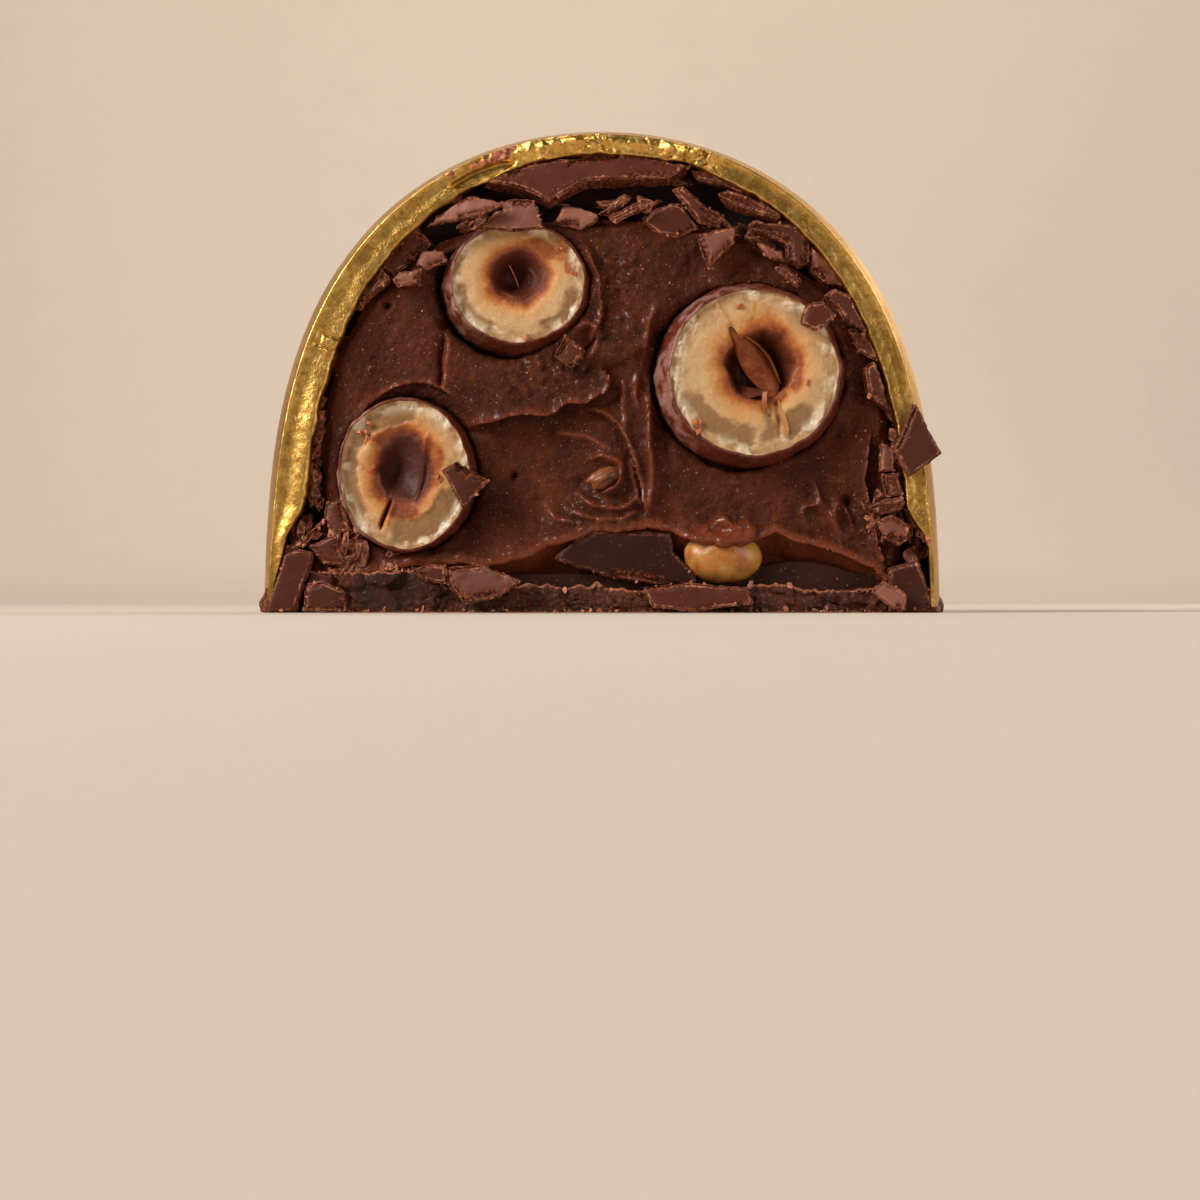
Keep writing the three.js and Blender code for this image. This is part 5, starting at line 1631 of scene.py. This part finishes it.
def base_finish():
    """The base's chocolate: dark and dull, dusty on top edges, gritty where it broke."""
    finish = Finish("base_chocolate", {"Specular IOR Level": 0.22})
    edge, crumb, dark = (finish.mask(m) for m in ("edge", "crumb", "dark"))
    cloud = finish.grain(1.8, detail=4)
    tone = finish.tint(colour(52, 22, 12), colour(80, 38, 24), finish.between(cloud, 0.35, 0.65))
    grit = finish.between(finish.grain(0.16, detail=4), 0.50, 0.74)
    tone = finish.tint(tone, colour(144, 82, 56), grit * crumb * 0.5)
    tone = finish.tint(tone, colour(40, 17, 8), dark * 0.92)
    ragged = finish.between(edge + (finish.grain(0.24, detail=4) - 0.5) * 1.1, 0.45, 0.85)
    tone = finish.tint(tone, colour(186, 112, 78), ragged * 0.75)
    dust = finish.between(finish.grain(0.10, detail=1), 0.70, 0.78)
    tone = finish.tint(tone, colour(190, 140, 112), dust * 0.6)
    finish.feed("Base Color", tone)
    finish.feed("Roughness", 0.46 + crumb * 0.2)
    fine = finish.bump(finish.grain(0.15, detail=4, rough=0.6) * (0.3 + crumb), 0.07)
    finish.feed("Normal", finish.bump(finish.grain(0.7, detail=3), 0.05, fine))
    return finish.material


BASE = base_finish()
slab = base_slab()
dress(slab, BASE, "dark_chocolate", "chocolate_base")

# %% [markdown]
# Under the gold, all the way round, the base sticks out as a thin ragged foot of
# dark chocolate. It is swept round the dome as a small section whose top and
# outer edges wander, so it closes the gap under the shell without a ruled line.

# %% Foot
FOOT_COLUMNS = 1100
FOOT_SECTION = [
    (-1.6, 0.0), (-0.3, 0.0), (-0.08, 0.03), (0.0, 0.12), (0.02, 0.3), (0.0, 0.5), (-0.06, 0.66),
    (-0.14, 0.76), (-0.3, 0.82), (-0.6, 0.84), (-1.6, 0.84),
]  # distance out from the foot's radius, and height


def base_foot():
    section = curved(FOOT_SECTION[:-1], 3)
    section = np.vstack([section, FOOT_SECTION[-1:]])
    half = np.arcsin(CUT_Y / FOOT_RADIUS)
    turn = np.linspace(half + 0.002, np.pi - half - 0.002, FOOT_COLUMNS)
    ring = np.stack([np.cos(turn), np.sin(turn), 0 * turn], axis=1)
    # at the cut the knife left only a thin tip of it
    full = smooth(0.2, 3.0, FOOT_RADIUS * np.minimum(turn - turn[0], turn[-1] - turn))
    rows = []
    for out, z in section:
        wander = 0.10 * noise(ring * 18, 1.6, 401) + 0.08 * noise(ring * 18 + z, 0.5, 402)
        outer = smooth(-0.7, -0.1, out)
        radius = FOOT_RADIUS + out + (wander - 0.06) * outer - 0.12 * (1 - full)
        jag = 0.10 * noise(ring * 18, 0.9, 403) + 0.07 * noise(ring * 18, 0.3, 404)
        height = (z + jag * outer * (z > 0.4)) * (0.4 + 0.6 * full)
        rows.append(ring * radius[:, None] + np.outer(np.maximum(height, 0), [0, 0, 1]))
    flat = np.array(rows).reshape(-1, 3)
    flat[:, 1] = np.maximum(flat[:, 1], CUT_Y + 0.05)
    out_mask = np.repeat([smooth(-0.4, -0.05, out) for out, z in section], FOOT_COLUMNS)
    grains = pebbles(flat, 0.3, 405)
    size = np.hypot(flat[:, 0], flat[:, 1])
    shift = out_mask * 0.06 * (0.6 - grains)
    flat[:, 0] += flat[:, 0] / size * shift
    flat[:, 1] += flat[:, 1] / size * shift
    edge = out_mask * smooth(0.1, 0.6, noise(flat, 0.6, 406))
    masks = {"edge": edge * 0.8, "crumb": out_mask, "dark": 0 * edge}
    faces = grid_faces(len(rows), FOOT_COLUMNS)
    return new_piece("base_foot", flat, faces, masks, hole_fill=True)


dress(base_foot(), BASE, "dark_chocolate", "chocolate_base")

# %% [markdown]
# Round the filling the lining is a packed ring of rubble: chips of every size
# wedged behind and between the large shards, down to dust. Cubes or balls would
# never look snapped. A chip here is the hull of a few random points, so it has
# flat faces and sharp corners. Each face is cut into small triangles, roughened,
# and marked where it is close to an edge, as on the large shards. The random
# draws are seeded, and all the chips of a kind are one mesh.

# %% Chips
def hull(corners):
    """The triangles of the hull of a few points."""
    work = bmesh.new()
    for corner in corners:
        work.verts.new(corner)
    bmesh.ops.convex_hull(work, input=work.verts)
    bmesh.ops.triangulate(work, faces=work.faces)
    triangles = np.array([[tuple(v.co) for v in face.verts] for face in work.faces])
    work.free()
    return triangles


def fine_triangles(triangles, cuts):
    """Cuts each triangle into cuts x cuts smaller ones: points, faces and distance to an edge."""
    i, j = np.array([(i, j) for i in range(cuts + 1) for j in range(cuts + 1 - i)]).T
    shares = np.stack([cuts - i - j, i, j], axis=1) / cuts
    number = {(a, b): k for k, (a, b) in enumerate(zip(i, j))}
    small = []
    for a, b in zip(i, j):
        if a + b < cuts:
            small.append((number[a, b], number[a + 1, b], number[a, b + 1]))
        if a + b < cuts - 1:
            small.append((number[a + 1, b], number[a + 1, b + 1], number[a, b + 1]))
    points = np.einsum("ns,tsk->tnk", shares, triangles)
    sides = np.linalg.norm(triangles - np.roll(triangles, -1, axis=1), axis=2)
    area = 0.5 * np.linalg.norm(
        np.cross(triangles[:, 1] - triangles[:, 0], triangles[:, 2] - triangles[:, 0]), axis=1
    )
    heights = 2 * area[:, None] / np.maximum(np.roll(sides, -1, axis=1), 1e-6)
    near = (shares[None] * heights[:, None]).min(axis=2)
    faces = np.array(small)[None] + len(i) * np.arange(len(triangles))[:, None, None]
    return points.reshape(-1, 3), faces.reshape(-1, 3), near.ravel()


def chip_mesh(draw, size, turn, cuts, pale=0.0):
    """One chip of that size in millimetres, turned, about the origin."""
    corners = draw.uniform(-0.5, 0.5, (11, 3))
    corners = corners / np.maximum(np.linalg.norm(corners, axis=1)[:, None], 0.3) * 0.5 * size
    points, faces, near = fine_triangles(hull(corners), cuts)
    seed = int(draw.integers(1000))
    rough = 0.05 * min(size) * noise(points, 0.35 * min(size), seed) + 0.02 * noise(points, 0.5, seed)
    out = points / np.maximum(np.linalg.norm(points, axis=1)[:, None], 1e-6)
    points = points + out * rough[:, None]
    masks = {
        "edge": np.exp(-near / 0.05),
        "crumb": np.full(len(points), draw.uniform(0.1, 0.8)),
        "pale": np.full(len(points), np.clip(pale + draw.uniform(-0.2, 0.3), 0, 1)),
    }
    matrix = mathutils.Euler([float(v) for v in turn]).to_matrix()
    return points @ np.array(matrix).T, faces, masks


def joined(name, chips, material, slot):
    """Many chips as one piece."""
    points, faces, masks, start = [], [], {}, 0
    for chip_points, chip_faces, chip_masks in chips:
        points.append(chip_points)
        faces.append(chip_faces + start)
        start += len(chip_points)
        for mask, values in chip_masks.items():
            masks.setdefault(mask, []).append(values)
    masks = {mask: np.concatenate(values) for mask, values in masks.items()}
    piece = new_piece(name, np.concatenate(points), np.concatenate(faces), masks, crisp=30)
    dress(piece, material, slot)


# Stretches of the ring: angles, number of chips, where across the gap, how far
# behind the cut, and the longest side.
RING_CHIPS = [
    {"angles": (143, 172), "count": 54, "across": (0.05, 1.0), "behind": (0.7, 2.0), "long": (0.4, 1.5)},
    {"angles": (116, 143), "count": 22, "across": (0.05, 0.9), "behind": (1.3, 2.3), "long": (0.6, 2.0)},
    {"angles": (62, 112), "count": 46, "across": (0.0, 0.30), "behind": (0.9, 2.0), "long": (0.5, 2.0)},
    {"angles": (62, 116), "count": 14, "across": (0.5, 1.0), "behind": (1.9, 2.5), "long": (0.9, 2.2)},
    {"angles": (36, 64), "count": 30, "across": (0.05, 0.9), "behind": (1.3, 2.3), "long": (0.6, 2.4)},
    {"angles": (3, 36), "count": 50, "across": (0.05, 1.0), "behind": (0.8, 2.1), "long": (0.4, 1.7)},
]
draw = np.random.default_rng(7)
fine_angles = np.linspace(0, np.pi, 1000)
hollow_line = arch(fine_angles, CUT_Y + 1, "hollow", FILLING_FLOOR)
hollow_size = np.hypot(hollow_line[:, 0] - HOLLOW_SHIFT, hollow_line[:, 2] - FILLING_FLOOR)
ring_chips = []
for stretch in RING_CHIPS:
    for _ in range(stretch["count"]):
        angle = np.radians(draw.uniform(*stretch["angles"]))
        gap = np.interp(np.degrees(angle), *np.array(FACE_GAP).T)
        inside = np.interp(angle, fine_angles, hollow_size) - gap
        far = inside + gap * draw.uniform(*stretch["across"])
        long = draw.uniform(*stretch["long"])
        size = np.array([long, draw.uniform(0.3, 0.6) * long, draw.uniform(0.3, 0.6) * long])
        lie = -(angle + np.pi / 2) + draw.uniform(-0.45, 0.45)
        turn = (draw.uniform(-0.6, 0.6), lie, draw.uniform(-0.5, 0.5))
        points, faces, masks = chip_mesh(draw, size, turn, 4)
        place = (HOLLOW_SHIFT + far * np.cos(angle), CUT_Y + draw.uniform(*stretch["behind"]),
                 FILLING_FLOOR + far * np.sin(angle))
        ring_chips.append((points + np.array(place), faces, masks))
joined("ring_rubble", ring_chips, SNAPPED, "snapped_chocolate")

# %% [markdown]
# Knives leave crumbs. They don't lie anywhere: they cling to the snapped edges
# they broke from, to the torn edge of the base, and a few stick to the paste and
# the nuts. So each crumb is put on a point of a finished piece that its mask
# marks as an edge, and none floats.

# %% Crumbs
def marked(piece, mask, level, depth=1.0):
    """A piece's points in millimetres where a mask is above a level and that lie near its front."""
    count = len(piece.data.vertices)
    points, values = np.zeros(3 * count), np.zeros(count)
    piece.data.vertices.foreach_get("co", points)
    piece.data.attributes[mask].data.foreach_get("value", values)
    points = points.reshape(-1, 3) / MM
    points = points[values > level]
    return points[points[:, 1] < points[:, 1].min() + depth]


def scatter(draw, spots, count, low, high, pale, cuts=2):
    """Crumbs of those sizes on some of the spots."""
    made = []
    for spot in spots[draw.integers(len(spots), size=count)]:
        long = low + (high - low) * draw.random() ** 2
        size = long * np.array([1, draw.uniform(0.5, 0.9), draw.uniform(0.4, 0.8)])
        points, faces, masks = chip_mesh(draw, size, draw.uniform(-3, 3, 3), cuts, pale)
        made.append((points + spot, faces, masks))
    return made


def lifted(crumbs):
    """The same crumbs, raised where they would dip into the floor."""
    return [(points + [0, 0, max(0.02 - points[:, 2].min(), 0)], faces, masks)
            for points, faces, masks in crumbs]


draw = np.random.default_rng(19)
edge_crumbs = []
for node in SHARD_NODES:
    spots = marked(shards[node], "edge", 0.5, 0.8)
    edge_crumbs += scatter(draw, spots, 2 + len(spots) // 90, 0.10, 0.42, 0.4)
joined("shard_crumbs", lifted(edge_crumbs), SNAPPED, "snapped_chocolate")

slab_edge = marked(slab, "edge", 0.6)
foot_spots = slab_edge[slab_edge[:, 2] < 0.3]
step_spots = slab_edge[slab_edge[:, 2] > 0.8]
base_crumbs = scatter(draw, foot_spots, 120, 0.12, 0.5, 0.7)
base_crumbs += scatter(draw, step_spots, 60, 0.12, 0.7, 0.5)
joined("base_crumbs", lifted(base_crumbs), SNAPPED, "snapped_chocolate")

# A heap of angular flakes fills the lower left corner, and a few lie at the right.
HEAPS = [
    {"middle": (-13.3, 3.4), "size": (1.5, 1.3), "count": 26, "long": (0.8, 2.1)},
    {"middle": (-11.4, 2.2), "size": (1.9, 0.5), "count": 20, "long": (0.6, 1.6)},
    {"middle": (14.2, 4.6), "size": (0.5, 1.8), "count": 12, "long": (0.5, 1.4)},
    {"middle": (-12.1, 4.5), "size": (1.0, 0.7), "count": 14, "long": (0.5, 1.4)},
]
heaps = []
for heap in HEAPS:
    for _ in range(heap["count"]):
        turn = draw.uniform(0, 2 * np.pi)
        far = draw.random() ** 0.6
        place = [
            heap["middle"][0] + heap["size"][0] * far * np.cos(turn),
            FACE_Y - 0.25 + 0.35 * far - draw.uniform(0, 0.25),
            heap["middle"][1] + heap["size"][1] * far * np.sin(turn),
        ]
        long = draw.uniform(*heap["long"])
        size = long * np.array([1, draw.uniform(0.15, 0.3), draw.uniform(0.4, 0.8)])
        turn = draw.uniform(-0.9, 0.9, 3) * np.array([1, 2, 1])
        points, faces, masks = chip_mesh(draw, size, turn, 4, -0.2)
        heaps.append((points + place, faces, masks))
joined("corner_flakes", heaps, SNAPPED, "snapped_chocolate")

face_spots = marked(paste, "grainy", -1, 1.6)
specks = scatter(draw, face_spots, 150, 0.06, 0.22, 0.5)
joined("specks_on_paste", specks, SNAPPED, "snapped_chocolate")

# %% [markdown]
# A few flecks of red-brown nut skin stick to the pale faces of the nuts, where
# the knife wiped them. They have a finish of their own, redder than chocolate.

# %% Flecks of skin on the nuts
FLECKS = {
    "hazelnut_top": [((2.1, 1.7), 0.35, 4), ((2.7, 0.7), 0.6, 6), ((0.3, -2.6), 0.35, 3)],
    "hazelnut_right": [((-0.6, 3.4), 0.15, 2), ((-2.9, -2.7), 0.6, 6), ((3.0, -0.5), 0.3, 2)],
    "hazelnut_left": [((-1.9, 2.7), 0.4, 4), ((-2.2, 2.0), 0.4, 4), ((1.6, -0.1), 0.35, 3)],
}


def fleck_finish():
    finish = Finish("skin_flecks", {"Coat Roughness": 0.2, "Coat Weight": 0.2})
    edge = finish.mask("edge")
    tone = finish.tint(colour(150, 62, 32), colour(198, 108, 62), finish.grain(0.2, detail=3))
    finish.feed("Base Color", finish.tint(tone, colour(220, 140, 92), edge * 0.4))
    finish.feed("Roughness", 0.45 + edge * 0.2)
    finish.feed("Normal", finish.bump(finish.grain(0.1, detail=3), 0.02))
    return finish.material


flecks = []
for nut_name, places in FLECKS.items():
    nut = NUTS[nut_name]
    for (u, v), spread, count in places:
        spots = np.stack([
            nut["middle"][0] + u + spread * draw.uniform(-0.6, 0.6, count),
            np.full(count, nut["face"] + 0.10),
            nut["middle"][2] + v + spread * draw.uniform(-0.6, 0.6, count),
        ], axis=1)
        flecks += scatter(draw, spots, count, 0.22, 0.75, 0.2, 3)
joined("skin_flecks", flecks, fleck_finish(), "hazelnut")

# %% [markdown]
# The last cell brings the view layer up to date.

bpy.context.view_layer.update()
